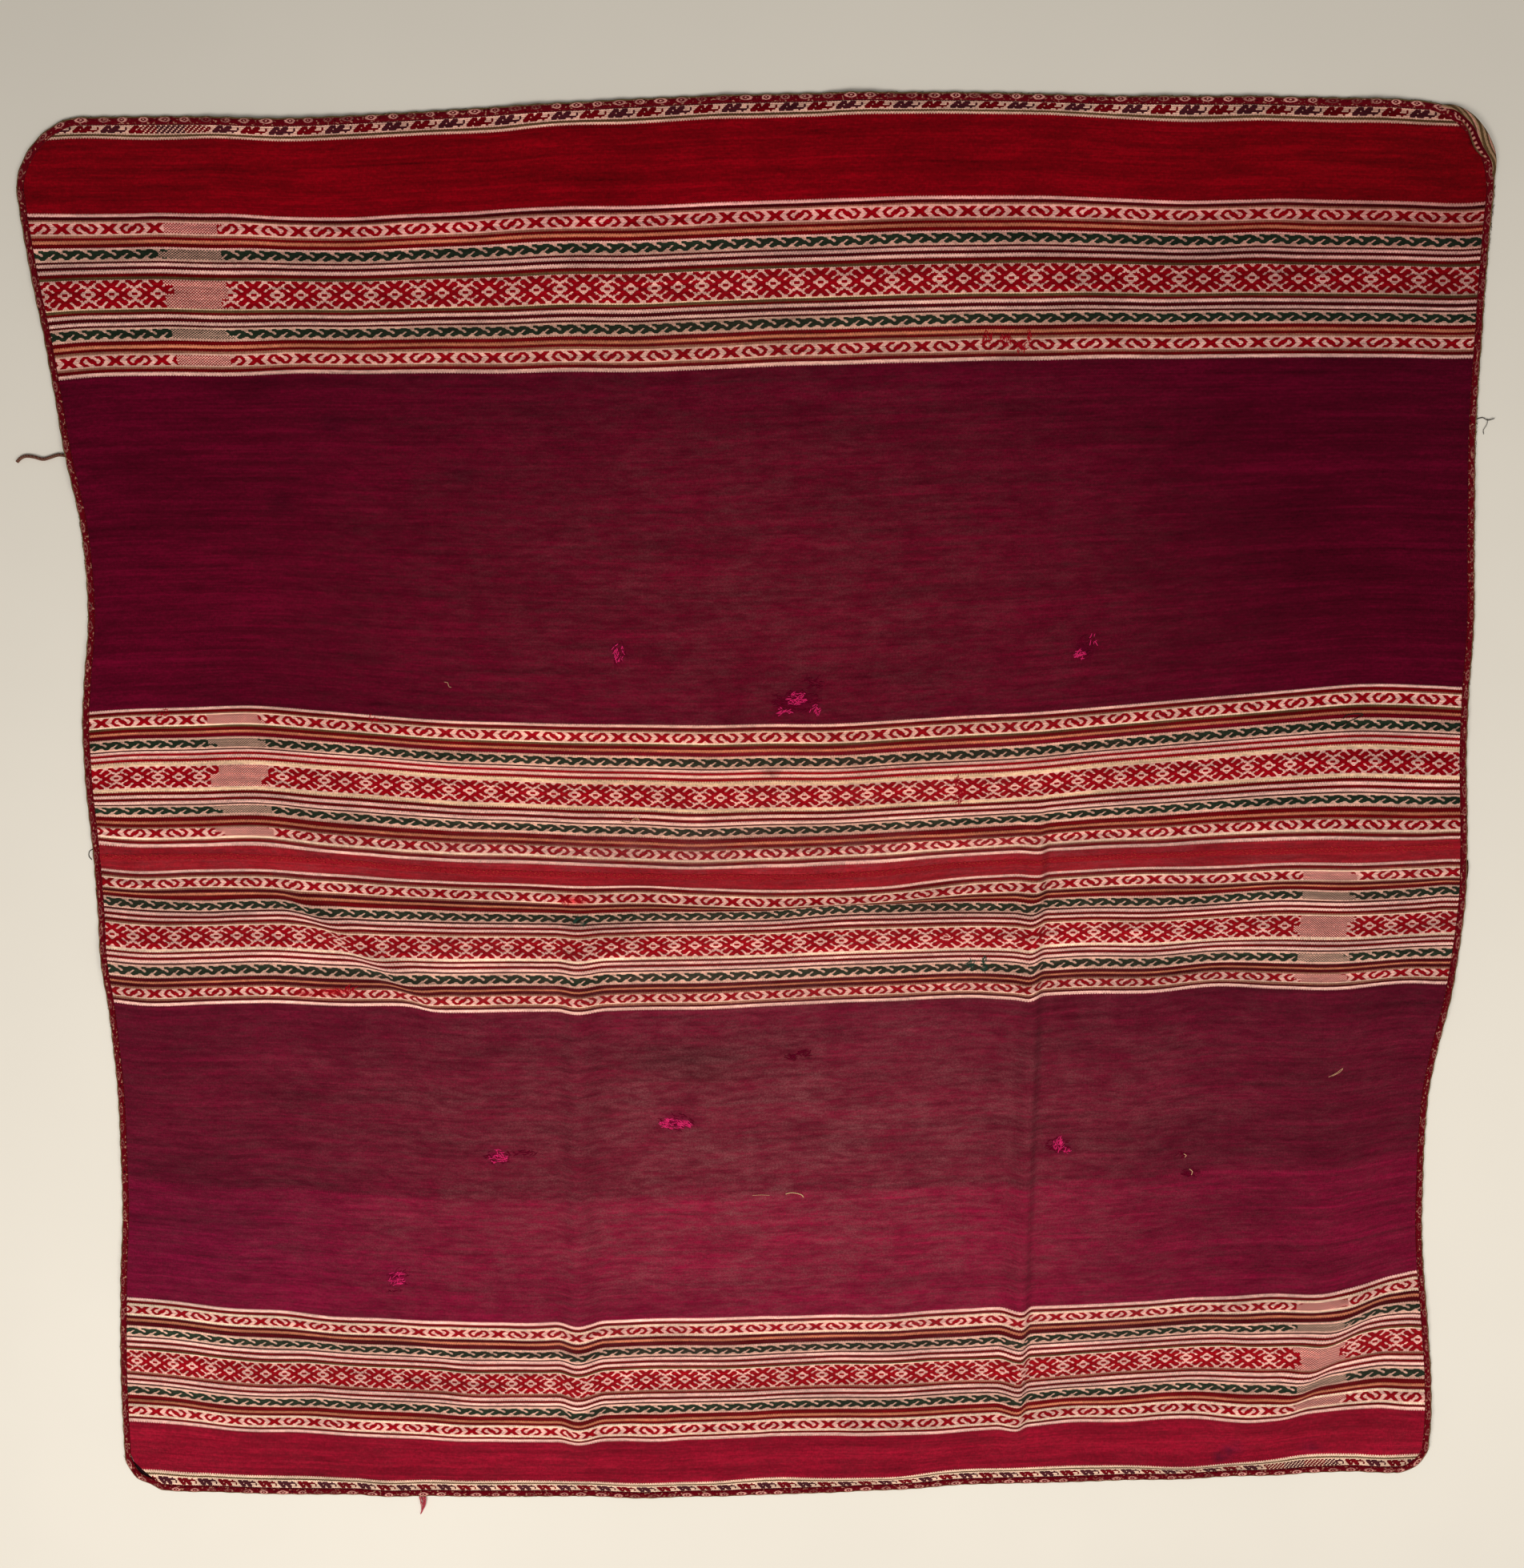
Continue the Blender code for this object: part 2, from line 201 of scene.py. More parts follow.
# Along the cloth: where the upper panel's main warp lines lie.
UPPER_WARPS = Table(
    ("x", "border", "first_top", "first_foot", "second_top", "second_middle", "second_foot"),
    (
        (-540, 530.0, 478.5, 362.0, 111.0, 59.0, 12.0),
        (-500, 532.0, 478.0, 365.5, 114.0, 62.0, 8.0),
        (-450, 530.5, 478.0, 366.0, 115.5, 62.5, 8.5),
        (-400, 531.0, 477.0, 365.5, 117.0, 63.5, 9.5),
        (-350, 528.5, 475.0, 367.0, 113.0, 59.5, 3.5),
        (-300, 530.0, 474.5, 366.5, 108.5, 56.5, -0.5),
        (-250, 532.5, 476.5, 367.0, 105.0, 52.5, -4.0),
        (-200, 534.0, 478.5, 366.5, 103.5, 50.0, -5.0),
        (-150, 538.0, 481.0, 367.5, 102.0, 48.0, -7.0),
        (-100, 539.0, 481.0, 367.0, 101.5, 47.0, -9.0),
        (-50, 541.5, 482.5, 368.5, 101.0, 45.5, -10.0),
        (0, 542.5, 484.0, 370.5, 102.0, 46.5, -8.0),
        (50, 543.5, 485.0, 371.5, 102.0, 46.5, -6.0),
        (100, 544.5, 486.5, 372.5, 105.0, 49.5, -3.0),
        (150, 544.0, 486.5, 373.5, 108.0, 52.0, 0.5),
        (200, 543.0, 486.0, 374.0, 110.5, 54.5, 3.5),
        (250, 540.0, 484.0, 375.0, 114.5, 60.0, 6.5),
        (300, 537.5, 482.0, 374.5, 119.0, 64.0, 8.5),
        (350, 538.0, 482.5, 375.0, 123.5, 68.0, 11.5),
        (400, 536.5, 481.5, 375.0, 128.0, 71.5, 13.5),
        (450, 535.0, 480.5, 374.5, 132.0, 74.0, 14.0),
        (500, 533.0, 479.0, 373.5, 131.0, 72.5, 13.0),
        (525, 532.0, 481.0, 374.0, 129.5, 71.5, 14.0),
    ),
)
# Along the cloth: where the lower panel's main warp lines lie.
LOWER_WARPS = Table(
    ("x", "third_top", "third_wave", "third_vine", "third_middle", "third_foot")
    + ("fourth_top", "fourth_middle", "fourth_foot", "border"),
    (
        (-540, -10.0, -24.0, -32.0, -61.5, -117.0, -376.0, -432.0, -486.0, -533.0),
        (-500, -14.0, -27.5, -36.0, -66.0, -122.0, -379.5, -434.5, -489.0, -535.0),
        (-450, -12.5, -26.0, -38.5, -65.5, -120.5, -386.0, -441.0, -494.5, -538.0),
        (-400, -12.0, -26.0, -36.5, -65.0, -119.5, -388.0, -442.5, -495.5, -538.5),
        (-350, -15.5, -29.0, -41.5, -69.0, -122.0, -392.5, -446.0, -499.0, -540.5),
        (-300, -19.0, -32.5, -44.0, -73.0, -122.5, -395.0, -448.0, -501.0, -541.0),
        (-250, -22.0, -35.5, -46.5, -74.5, -127.0, -397.5, -450.5, -503.0, -542.0),
        (-200, -23.5, -37.5, -47.5, -74.5, -126.0, -397.5, -451.0, -503.5, -541.5),
        (-150, -25.5, -39.0, -47.5, -74.5, -126.0, -396.0, -449.5, -502.5, -542.0),
        (-100, -25.0, -38.5, -46.5, -73.5, -124.5, -393.5, -447.0, -501.0, -541.5),
        (-50, -27.5, -41.0, -46.0, -72.5, -124.0, -392.5, -446.0, -499.5, -541.0),
        (0, -29.0, -42.5, -45.0, -71.5, -121.0, -390.5, -443.5, -496.5, -537.0),
        (50, -28.0, -40.0, -40.6, -69.0, -118.5, -388.5, -441.5, -495.5, -537.5),
        (100, -24.5, -36.0, -39.0, -67.5, -116.5, -388.0, -441.0, -495.0, -535.0),
        (150, -18.5, -31.5, -38.0, -66.0, -114.0, -383.0, -437.0, -492.0, -528.5),
        (200, -15.5, -29.0, -37.5, -65.0, -114.0, -381.5, -435.5, -488.0, -527.0),
        (250, -12.0, -25.5, -34.5, -62.0, -111.0, -379.5, -431.5, -482.0, -524.5),
        (300, -10.0, -23.5, -34.0, -62.0, -110.0, -376.5, -427.5, -480.0, -523.5),
        (350, -9.5, -23.0, -31.5, -58.5, -104.5, -372.0, -424.0, -478.0, -523.5),
        (400, -7.0, -20.5, -28.5, -56.5, -106.5, -368.5, -423.5, -482.0, -519.5),
        (450, -7.0, -20.5, -29.5, -57.0, -106.5, -368.0, -422.0, -473.5, -512.5),
        (500, -5.5, -19.0, -27.0, -55.0, -101.5, -354.0, -409.0, -467.0, -512.0),
        (525, -4.0, -17.5, -24.5, -53.0, -102.0, -347.5, -407.5, -468.5, -511.0),
    ),
)


class Fold(NamedTuple):
    """A ridge from one point to another, with how far it spreads left and right of that way."""

    x0: float
    y0: float
    x1: float
    y1: float
    left: float
    right: float
    height: float
    fade: float


FOLDS = [
    Fold(-151, -20, -163, -538, 22, 20, 8.6, 60),
    Fold(208, 62, 203, -522, 10, 18, 8.8, 60),
    Fold(-400, -16, -242, -142, 14, 16, 5.0, 45),
    Fold(98, 15, 238, 19, 9, 12, 4.8, 45),
    Fold(24, -37, 168, -25, 8, 10, 4.4, 45),
    Fold(412, -487, 500, -343, 20, 20, 5.0, 45),
    Fold(-532, -292, 80, -280, 26, 30, 3.4, 80),
    Fold(-428, 540, -356, 418, 26, 28, 3.0, 50),
    Fold(402, 540, 324, 388, 32, 28, 3.0, 55),
    Fold(-524, 296, -420, 293, 7, 9, 1.6, 25),
    Fold(-445, 545, -448, 340, 20, 20, 1.3, 50),
    Fold(-20, 8, 70, -30, 10, 12, 1.8, 25),
    Fold(120, -150, 190, -340, 26, 26, 1.6, 60),
    Fold(-60, -180, 30, -360, 30, 26, 1.4, 60),
    Fold(300, -140, 250, -350, 28, 24, 1.4, 60),
]


class Tuck(NamedTuple):
    """A line that the warps step across, by a shift up on its right that dies away."""

    x0: float
    y0: float
    x1: float
    y1: float
    width: float
    reach: float
    shift: float


TUCKS = [
    Tuck(207, -20, 205, -135, 3.5, 26, 3.6),
    Tuck(-392, -22, -266, -132, 7, 30, -4.4),
    Tuck(427, -490, 487, -352, 9, 26, 3.4),
]


def beside(mark: Fold | Tuck, x: Array, y: Array) -> tuple[Array, Array, float]:
    """Measure points from a mark's line.

    Args:
        mark: The fold or tuck.
        x: The points' places along the cloth.
        y: Their places up it.

    Returns:
        How far right of the line each lies and how far along it, and the line's length.
    """
    way = np.array([mark.x1 - mark.x0, mark.y1 - mark.y0])
    length = float(np.hypot(*way))
    way = way / length
    right = -(way[0] * (y - mark.y0) - way[1] * (x - mark.x0))
    return right, way[0] * (x - mark.x0) + way[1] * (y - mark.y0), length


class Lay:
    """How the cloth lies: its outline, its folds and the height of its underside."""

    COCKLE_SEED = 11
    COCKLE_WAVES = 26
    COCKLE_LENGTHS = (55.0, 190.0)
    COCKLE_HEIGHT = 0.30
    FLAT_ON_FOLDS = 5.0
    LEAST_COCKLE = 0.2
    TUCK_FADE = 25
    PLACING_ROUNDS = 12

    def __init__(self) -> None:
        """Make the smooth lines of the outline and the small unevenness."""
        self.side = {name: SIDES.line(name) for name in ("left", "right")}
        self.end = {name: ENDS.line(name) for name in ("top", "join", "bottom")}
        draw = np.random.default_rng(self.COCKLE_SEED)
        lengths = draw.uniform(*self.COCKLE_LENGTHS, self.COCKLE_WAVES)
        angles = draw.uniform(0, math.tau, self.COCKLE_WAVES)
        phases = draw.uniform(0, math.tau, self.COCKLE_WAVES)
        along, across = (way(angles) * math.tau / lengths for way in (np.cos, np.sin))
        self.waves = np.stack([along, across, phases])

    def edge_line(self, panel: str, x: Array) -> Array:
        """Y of a panel's outer woven edge."""
        return self.end["top"](x) - INSET if panel == "upper" else self.end["bottom"](x) + INSET

    def seam_line(self, panel: str, x: Array) -> Array:
        """Y of a panel's edge along the join."""
        half = SEAM_WIDTH / 2 + GAP
        return self.end["join"](x) + (half if panel == "upper" else -half)

    def side_line(self, side: str, panel: str, x: Array, y: Array) -> Array:
        """X of a panel's side edge, drawn in where its corner is rounded.

        Args:
            side: Left or right.
            panel: Upper or lower.
            x: Place along the cloth, to find how far the end is.
            y: Height to read the edge at.

        Returns:
            The edge's x.
        """
        corner = CORNERS[side, panel]
        u = np.clip(1 - np.abs(self.edge_line(panel, x) - y) / corner.reach_y, 0.0, 1.0)
        trim = INSET + corner.reach_x * (1 - (1 - u**corner.roundness) ** (1 / corner.roundness))
        return self.side[side](y) + (trim if side == "left" else -trim)

    def place(self, panel: str, s: Array, row: Line) -> tuple[Array, Array]:
        """Points at s from left to right on a row whose height is a function of x.

        Args:
            panel: Upper or lower.
            s: Shares of the way from the left edge to the right.
            row: The row's y for each x.

        Returns:
            Their x and y.
        """
        x = NOMINAL_HALF * (2 * s - 1)
        y = row(x)
        for _ in range(self.PLACING_ROUNDS):
            left = self.side_line("left", panel, x, y)
            x = left + s * (self.side_line("right", panel, x, y) - left)
            y = row(x)
        return x, y

    def lift(self, x: Array, y: Array) -> Array:
        """Find how high the cloth lies.

        Args:
            x: Places along the cloth.
            y: Places up it.

        Returns:
            The height of its underside above the floor.
        """
        height = np.zeros_like(x)
        for fold in FOLDS:
            right, run, length = beside(fold, x, y)
            reach = np.where(right > 0, fold.right, fold.left)
            crown = 0.5 + 0.5 * np.cos(math.pi * np.clip(np.abs(right) / reach, 0, 1))
            ends = soft_step(run, fold.fade) * soft_step(length - run, fold.fade)
            height = np.maximum(height, fold.height * crown * ends)
        along, across, phase = (wave[:, None] for wave in self.waves)
        ripple = np.sin(along * np.ravel(x) + across * np.ravel(y) + phase).sum(0)
        ripple = self.COCKLE_HEIGHT * np.maximum(ripple, 0).reshape(np.shape(x))
        return height + ripple * np.clip(1 - height / self.FLAT_ON_FOLDS, self.LEAST_COCKLE, 1.0)

    def step(self, x: Array, y: Array) -> Array:
        """Find how far the tucks shift the warps up.

        Args:
            x: Places along the cloth.
            y: Places up it.

        Returns:
            The shift at each point.
        """
        shift = np.zeros_like(x)
        for tuck in TUCKS:
            right, run, length = beside(tuck, x, y)
            right = right if tuck.y1 > tuck.y0 else -right
            ends = soft_step(run, self.TUCK_FADE) * soft_step(length - run, self.TUCK_FADE)
            pulse = 0.5 * np.tanh(right / tuck.width) * np.exp(-np.abs(right) / tuck.reach)
            shift = shift + tuck.shift * pulse * ends
        return shift


LAY = Lay()


class Yarn(IntEnum):
    """The dyed yarns by their number in the dye chart, each with its screen colour."""

    colour: Colour

    def __new__(cls, red: int, green: int, blue: int) -> "Yarn":
        """Number the yarns as they come, and keep each one's colour.

        Args:
            red: Red share of the screen colour, up to 255.
            green: Green share.
            blue: Blue share.

        Returns:
            The yarn.
        """
        yarn = int.__new__(cls, len(cls.__members__))
        yarn._value_ = len(cls.__members__)
        yarn.colour = (red, green, blue)
        return yarn

    TOP_RED = 134, 0, 16
    UPPER_PLAIN = 90, 2, 30
    LOWER_PLAIN = 94, 8, 34
    FOOT_RED = 141, 12, 37
    CENTRE_RED = 156, 22, 34
    CREAM = 255, 214, 184
    PINK = 255, 198, 182
    PALE = 238, 184, 162
    ORANGE = 208, 126, 92
    OLIVE = 98, 74, 44
    MAROON = 76, 0, 8
    DARK_RED = 104, 0, 6
    FIGURE_RED = 150, 0, 14
    BORDER_RED = 112, 0, 12
    BORDER_PURPLE = 64, 30, 38
    GREEN = 34, 46, 32
    BROWN = 66, 4, 10
    STRAW = 250, 206, 168
    CRIMSON = 112, 0, 20
    GREY = 158, 104, 82
    LOWER_ROSE = 114, 6, 42


WAVE_ROWS = (
    "..RRRR....RRRR..",
    ".RRRR....RRRR...",
    "RRRR....RRR....R",
    "RRR....RRR....RR",
    "RRR.....RR...RRR",
    "RRRR....RRR..RRR",
    ".RRRR....RRRRRR.",
    "..RRRR....RRRR..",
)
VINE_ROWS = (
    "..RRRR.....RRR..",
    "RRRRRRRR...RRRRR",
    "RRRRRRRRR....RRR",
    "RRRR..RRRRR...RR",
    "RRR..RRRRRRR..RR",
    "R...RRRRRRRRRRRR",
    "...RRRRR...RRRRR",
    "....RR......RRR.",
)
DIAMOND_ROWS = (
    "..RRRR....RRRR..",
    ".RRRRR....RRRRR.",
    "RRRRR..RRR..RRRR",
    "RRRR..RRRRR..RRR",
    "RRR..RRRRRR....R",
    "RRRRRRRRRR..R...",
    ".RRRRRRR..RRRRR.",
    "..RRRRR..RRRRR..",
    "...RRRRRRRRR....",
    "RR...RRRRRR...RR",
)
BORDER_ROWS = (
    "...RRR..RRR.....",
    "..RRRR.RRRR...R.",
    ".RRR.RRRRR....R.",
    "RRRRRRRRRRRRRR..",
    "RRR.RRRR...R....",
)


class Repeat(IntEnum):
    """How a chart goes on past its last column."""

    MIRRORED = 0
    TURNED = 1
    STRAIGHT = 2
    ALTERNATE = 3


class Chart(Enum):
    """The picked patterns: the chart's rows, how it repeats and whether it is half of a figure."""

    WAVE = (WAVE_ROWS, Repeat.TURNED, False)
    VINE = (VINE_ROWS, Repeat.STRAIGHT, False)
    DIAMOND_TOP = (DIAMOND_ROWS, Repeat.MIRRORED, True)
    DIAMOND_FOOT = (DIAMOND_ROWS[::-1], Repeat.MIRRORED, True)
    BORDER = (BORDER_ROWS, Repeat.ALTERNATE, False)
    BORDER_TURNED = (BORDER_ROWS[::-1], Repeat.ALTERNATE, False)


CHART_COLUMNS = 16
ALL_FIGURE = 2**CHART_COLUMNS - 1
DRIFT_REACH = 500.0
PLAIN_ROW = 5.6


class Cell(NamedTuple):
    """A mesh row's chart codes: the row above, the row and the row below."""

    above: int
    own: int
    below: int


@dataclass(frozen=True)
class Stripe:
    """A stripe of the warp: its yarn and width, and its chart where it is picked."""

    yarn: Yarn
    width: float
    chart: Chart | None = None
    ground: Yarn = Yarn.CREAM
    pitch: float = 1.1
    phase: float = 0.0
    drift: float = 0.0

    def codes(self) -> list[tuple[Cell, Cell]]:
        """Find the codes of the stripe's mesh rows, one bit a column.

        Returns:
            For each row, a cell for the chart's own columns and one for the next; a plain
            stripe is all figure.
        """
        if self.chart is None:
            full = Cell(ALL_FIGURE, ALL_FIGURE, ALL_FIGURE)
            return [(full, full)] * max(1, round(self.width / PLAIN_ROW))
        rows, repeat, is_half = self.chart.value
        following = [row[::-1] for row in rows]
        if repeat in (Repeat.TURNED, Repeat.MIRRORED):
            following = rows[::-1] if repeat is Repeat.TURNED else rows
        halves = []
        for chart in (rows, following):
            own = [sum(1 << k for k, mark in enumerate(row) if mark == "R") for row in chart]
            first, last = (own[0], own[-1]) if is_half else (0, 0)
            padded = [first, *own, last]
            halves.append([Cell(*padded[k : k + 3]) for k in range(len(own))])
        return list(zip(*halves))

    def repeat(self) -> Repeat:
        """How the stripe's chart goes on."""
        return self.chart.value[1] if self.chart else Repeat.MIRRORED


def plain(*pairs: Yarn | float) -> list[Stripe]:
    """Plain stripes from yarns, each with its width after it."""
    return [Stripe(yarn, width) for yarn, width in zip(pairs[::2], pairs[1::2])]


def wave(width: float, phase: float, pitch: float) -> Stripe:
    """A strip of red waves and crosses on a pink ground."""
    return Stripe(Yarn.FIGURE_RED, width, Chart.WAVE, Yarn.PINK, pitch, phase)


def vine(width: float, phase: float, pitch: float) -> Stripe:
    """A strip of green vine on a pale ground."""
    return Stripe(Yarn.GREEN, width, Chart.VINE, Yarn.PALE, pitch, phase)


def diamonds(width: float, phase: float, pitch: float, chart: Chart, drift: float = 0.0) -> Stripe:
    """Half of a strip of diamonds, in red on pink."""
    return Stripe(Yarn.FIGURE_RED, width, chart, Yarn.PINK, pitch, phase, drift)


def border(width: float, phase: float, pitch: float, chart: Chart) -> Stripe:
    """The small picked border at an outer edge, red and purple by turns."""
    return Stripe(Yarn.BORDER_RED, width, chart, Yarn.CREAM, pitch, phase)


# The stripes between each two warp lines, down the cloth, with Y for the yarns.
Y = Yarn
UPPER_LAYOUT: list[list[Stripe]] = [
    [
        *plain(Y.MAROON, 1.0),
        border(6.4, -14.0, 1.28, Chart.BORDER),
        *plain(Y.CREAM, 0.8, Y.OLIVE, 2.2, Y.CREAM, 1.1),
    ],
    plain(Y.TOP_RED, 56.0, Y.PINK, 0.6),
    [
        *plain(Y.PINK, 0.8, Y.MAROON, 2.8, Y.GREY, 1.0, Y.PALE, 1.2),
        wave(7.5, 3.9, 1.09),
        *plain(Y.PALE, 1.1, Y.GREY, 1.3, Y.DARK_RED, 2.5, Y.ORANGE, 1.9, Y.DARK_RED, 3.6, Y.PINK, 1.0),
        vine(7.2, -4.3, 1.137),
        *plain(Y.PALE, 1.3, Y.MAROON, 1.7, Y.PINK, 2.0, Y.MAROON, 2.9, Y.PINK, 2.2),
        *plain(Y.DARK_RED, 3.0, Y.OLIVE, 2.0),
        diamonds(10.3, 2.1, 1.087, Chart.DIAMOND_TOP),
        diamonds(10.3, 2.1, 1.087, Chart.DIAMOND_FOOT),
        *plain(Y.STRAW, 0.8, Y.OLIVE, 1.9, Y.DARK_RED, 2.2, Y.PINK, 2.1, Y.MAROON, 3.3),
        *plain(Y.PINK, 1.9, Y.MAROON, 1.7, Y.PALE, 1.3),
        vine(7.0, 6.6, 1.1),
        *plain(Y.PALE, 1.2, Y.DARK_RED, 3.7, Y.ORANGE, 2.0, Y.DARK_RED, 2.5, Y.GREY, 1.6, Y.PALE, 1.1),
        wave(7.6, 6.0, 1.1),
        *plain(Y.PALE, 0.9, Y.GREY, 1.3, Y.DARK_RED, 3.0, Y.PINK, 1.0),
    ],
    plain(Y.PINK, 0.8, Y.UPPER_PLAIN, 250.0, Y.PINK, 0.6),
    [
        *plain(Y.PINK, 0.6, Y.DARK_RED, 3.2, Y.GREY, 0.8, Y.CREAM, 0.8),
        wave(7.5, -17.5, 1.045),
        *plain(Y.CREAM, 1.2, Y.OLIVE, 1.5, Y.DARK_RED, 3.2, Y.ORANGE, 1.4, Y.CRIMSON, 4.1, Y.PALE, 1.2),
        vine(6.8, 3.0, 1.077),
        *plain(Y.PALE, 1.3, Y.BROWN, 1.1, Y.PINK, 1.8, Y.FIGURE_RED, 2.5, Y.PINK, 2.0),
        *plain(Y.FIGURE_RED, 3.0, Y.STRAW, 3.6),
        diamonds(9.0, -6.9, 1.015, Chart.DIAMOND_TOP),
    ],
    [
        diamonds(9.0, -6.9, 1.015, Chart.DIAMOND_FOOT),
        *plain(Y.STRAW, 3.2, Y.DARK_RED, 3.3, Y.PINK, 2.1, Y.DARK_RED, 3.0, Y.PINK, 2.4),
        *plain(Y.BROWN, 1.1, Y.PALE, 1.2),
        vine(6.3, 2.0, 1.12),
        *plain(Y.PALE, 1.7, Y.DARK_RED, 4.8, Y.ORANGE, 1.4, Y.DARK_RED, 3.2, Y.GREY, 1.1),
        wave(7.2, 16.3, 1.04),
        *plain(Y.CREAM, 2.0, Y.GREY, 0.8, Y.DARK_RED, 3.1, Y.PINK, 0.8),
    ],
    plain(Y.PINK, 0.8, Y.CENTRE_RED, 5.6),
]

LOWER_LAYOUT: list[list[Stripe]] = [
    plain(Y.CENTRE_RED, 10.0, Y.PINK, 0.7),
    [
        *plain(Y.PINK, 0.7, Y.DARK_RED, 3.1, Y.GREY, 1.1, Y.CREAM, 1.0),
        wave(6.8, 2.2, 1.03),
        *plain(Y.CREAM, 0.8),
    ],
    plain(Y.GREY, 1.3, Y.MAROON, 3.5, Y.ORANGE, 1.4, Y.DARK_RED, 5.3, Y.PALE, 1.3),
    [
        vine(7.0, -10.2, 1.1),
        *plain(Y.PALE, 0.8, Y.BROWN, 1.8, Y.PINK, 2.3, Y.DARK_RED, 2.8, Y.PINK, 1.7),
        *plain(Y.DARK_RED, 2.8, Y.GREY, 1.3, Y.CREAM, 0.8),
        diamonds(9.0, 5.5, 1.033, Chart.DIAMOND_TOP),
    ],
    [
        diamonds(9.0, 5.5, 1.033, Chart.DIAMOND_FOOT),
        *plain(Y.CREAM, 2.2, Y.DARK_RED, 2.0, Y.PINK, 1.7, Y.DARK_RED, 2.8, Y.PINK, 2.1),
        *plain(Y.BROWN, 1.3, Y.PALE, 1.3),
        vine(7.0, -9.4, 1.127),
        *plain(Y.PALE, 1.3, Y.MAROON, 3.6, Y.ORANGE, 0.9, Y.MAROON, 3.2, Y.GREY, 1.3),
        wave(6.5, 0.7, 1.03),
        *plain(Y.CREAM, 0.6, Y.GREY, 1.5, Y.MAROON, 2.0, Y.PINK, 0.8),
    ],
    plain(Y.PINK, 0.8, Y.LOWER_PLAIN, 147.0, Y.LOWER_ROSE, 103.0, Y.PINK, 0.8),
    [
        *plain(Y.PINK, 0.8, Y.DARK_RED, 3.1, Y.CREAM, 1.9),
        wave(6.5, 3.0, 1.03),
        *plain(Y.CREAM, 1.9, Y.MAROON, 3.0, Y.ORANGE, 1.5, Y.MAROON, 4.8, Y.PALE, 1.3),
        vine(6.0, -6.8, 1.146),
        *plain(Y.PALE, 1.3, Y.BROWN, 1.3, Y.PINK, 2.4, Y.DARK_RED, 2.8, Y.PINK, 2.1),
        *plain(Y.DARK_RED, 2.2, Y.OLIVE, 1.3, Y.CREAM, 0.7),
        diamonds(9.0, -8.0, 1.022, Chart.DIAMOND_TOP, 14.0),
    ],
    [
        diamonds(9.0, -8.0, 1.022, Chart.DIAMOND_FOOT, 14.0),
        *plain(Y.GREY, 1.5, Y.DARK_RED, 2.1, Y.PINK, 2.5, Y.DARK_RED, 2.5, Y.PINK, 2.0),
        *plain(Y.BROWN, 1.3, Y.PALE, 1.5),
        vine(6.5, 3.3, 1.17),
        *plain(Y.PALE, 0.8, Y.DARK_RED, 4.7, Y.ORANGE, 1.4, Y.DARK_RED, 2.8, Y.CREAM, 1.9),
        wave(7.0, -20.0, 1.04),
        *plain(Y.CREAM, 1.8, Y.DARK_RED, 2.2, Y.PINK, 0.8),
    ],
    plain(Y.PINK, 0.8, Y.FOOT_RED, 34.0),
    [
        *plain(Y.CREAM, 1.4, Y.OLIVE, 1.4, Y.CREAM, 0.8),
        border(5.6, 4.0, 1.06, Chart.BORDER_TURNED),
        *plain(Y.MAROON, 0.8),
    ],
]


class Zone(NamedTuple):
    """Where the weaver closed the warp and the charts turn to dots."""

    top: float
    foot: float
    start: float
    finish: float
    slant: float


ZONES = [
    Zone(560, 525, -455, -405, 0),
    Zone(482, 360, -443, -401, 0),
    Zone(120, 5, -434, -393, 0),
    Zone(-5, -112, 413, 452, 0),
    Zone(-350, -490, 430, 466, -0.05),
    Zone(-505, -560, 412, 474, 0),
]


class Patch(NamedTuple):
    """A soft patch of changed colour: what it multiplies the colour by, and how much it adds to the pale
    specks, which are partly rubbing and partly painted glint.
    """

    x: float
    y: float
    reach_x: float
    reach_y: float
    red: float
    green: float
    blue: float
    wear_and_glint: float
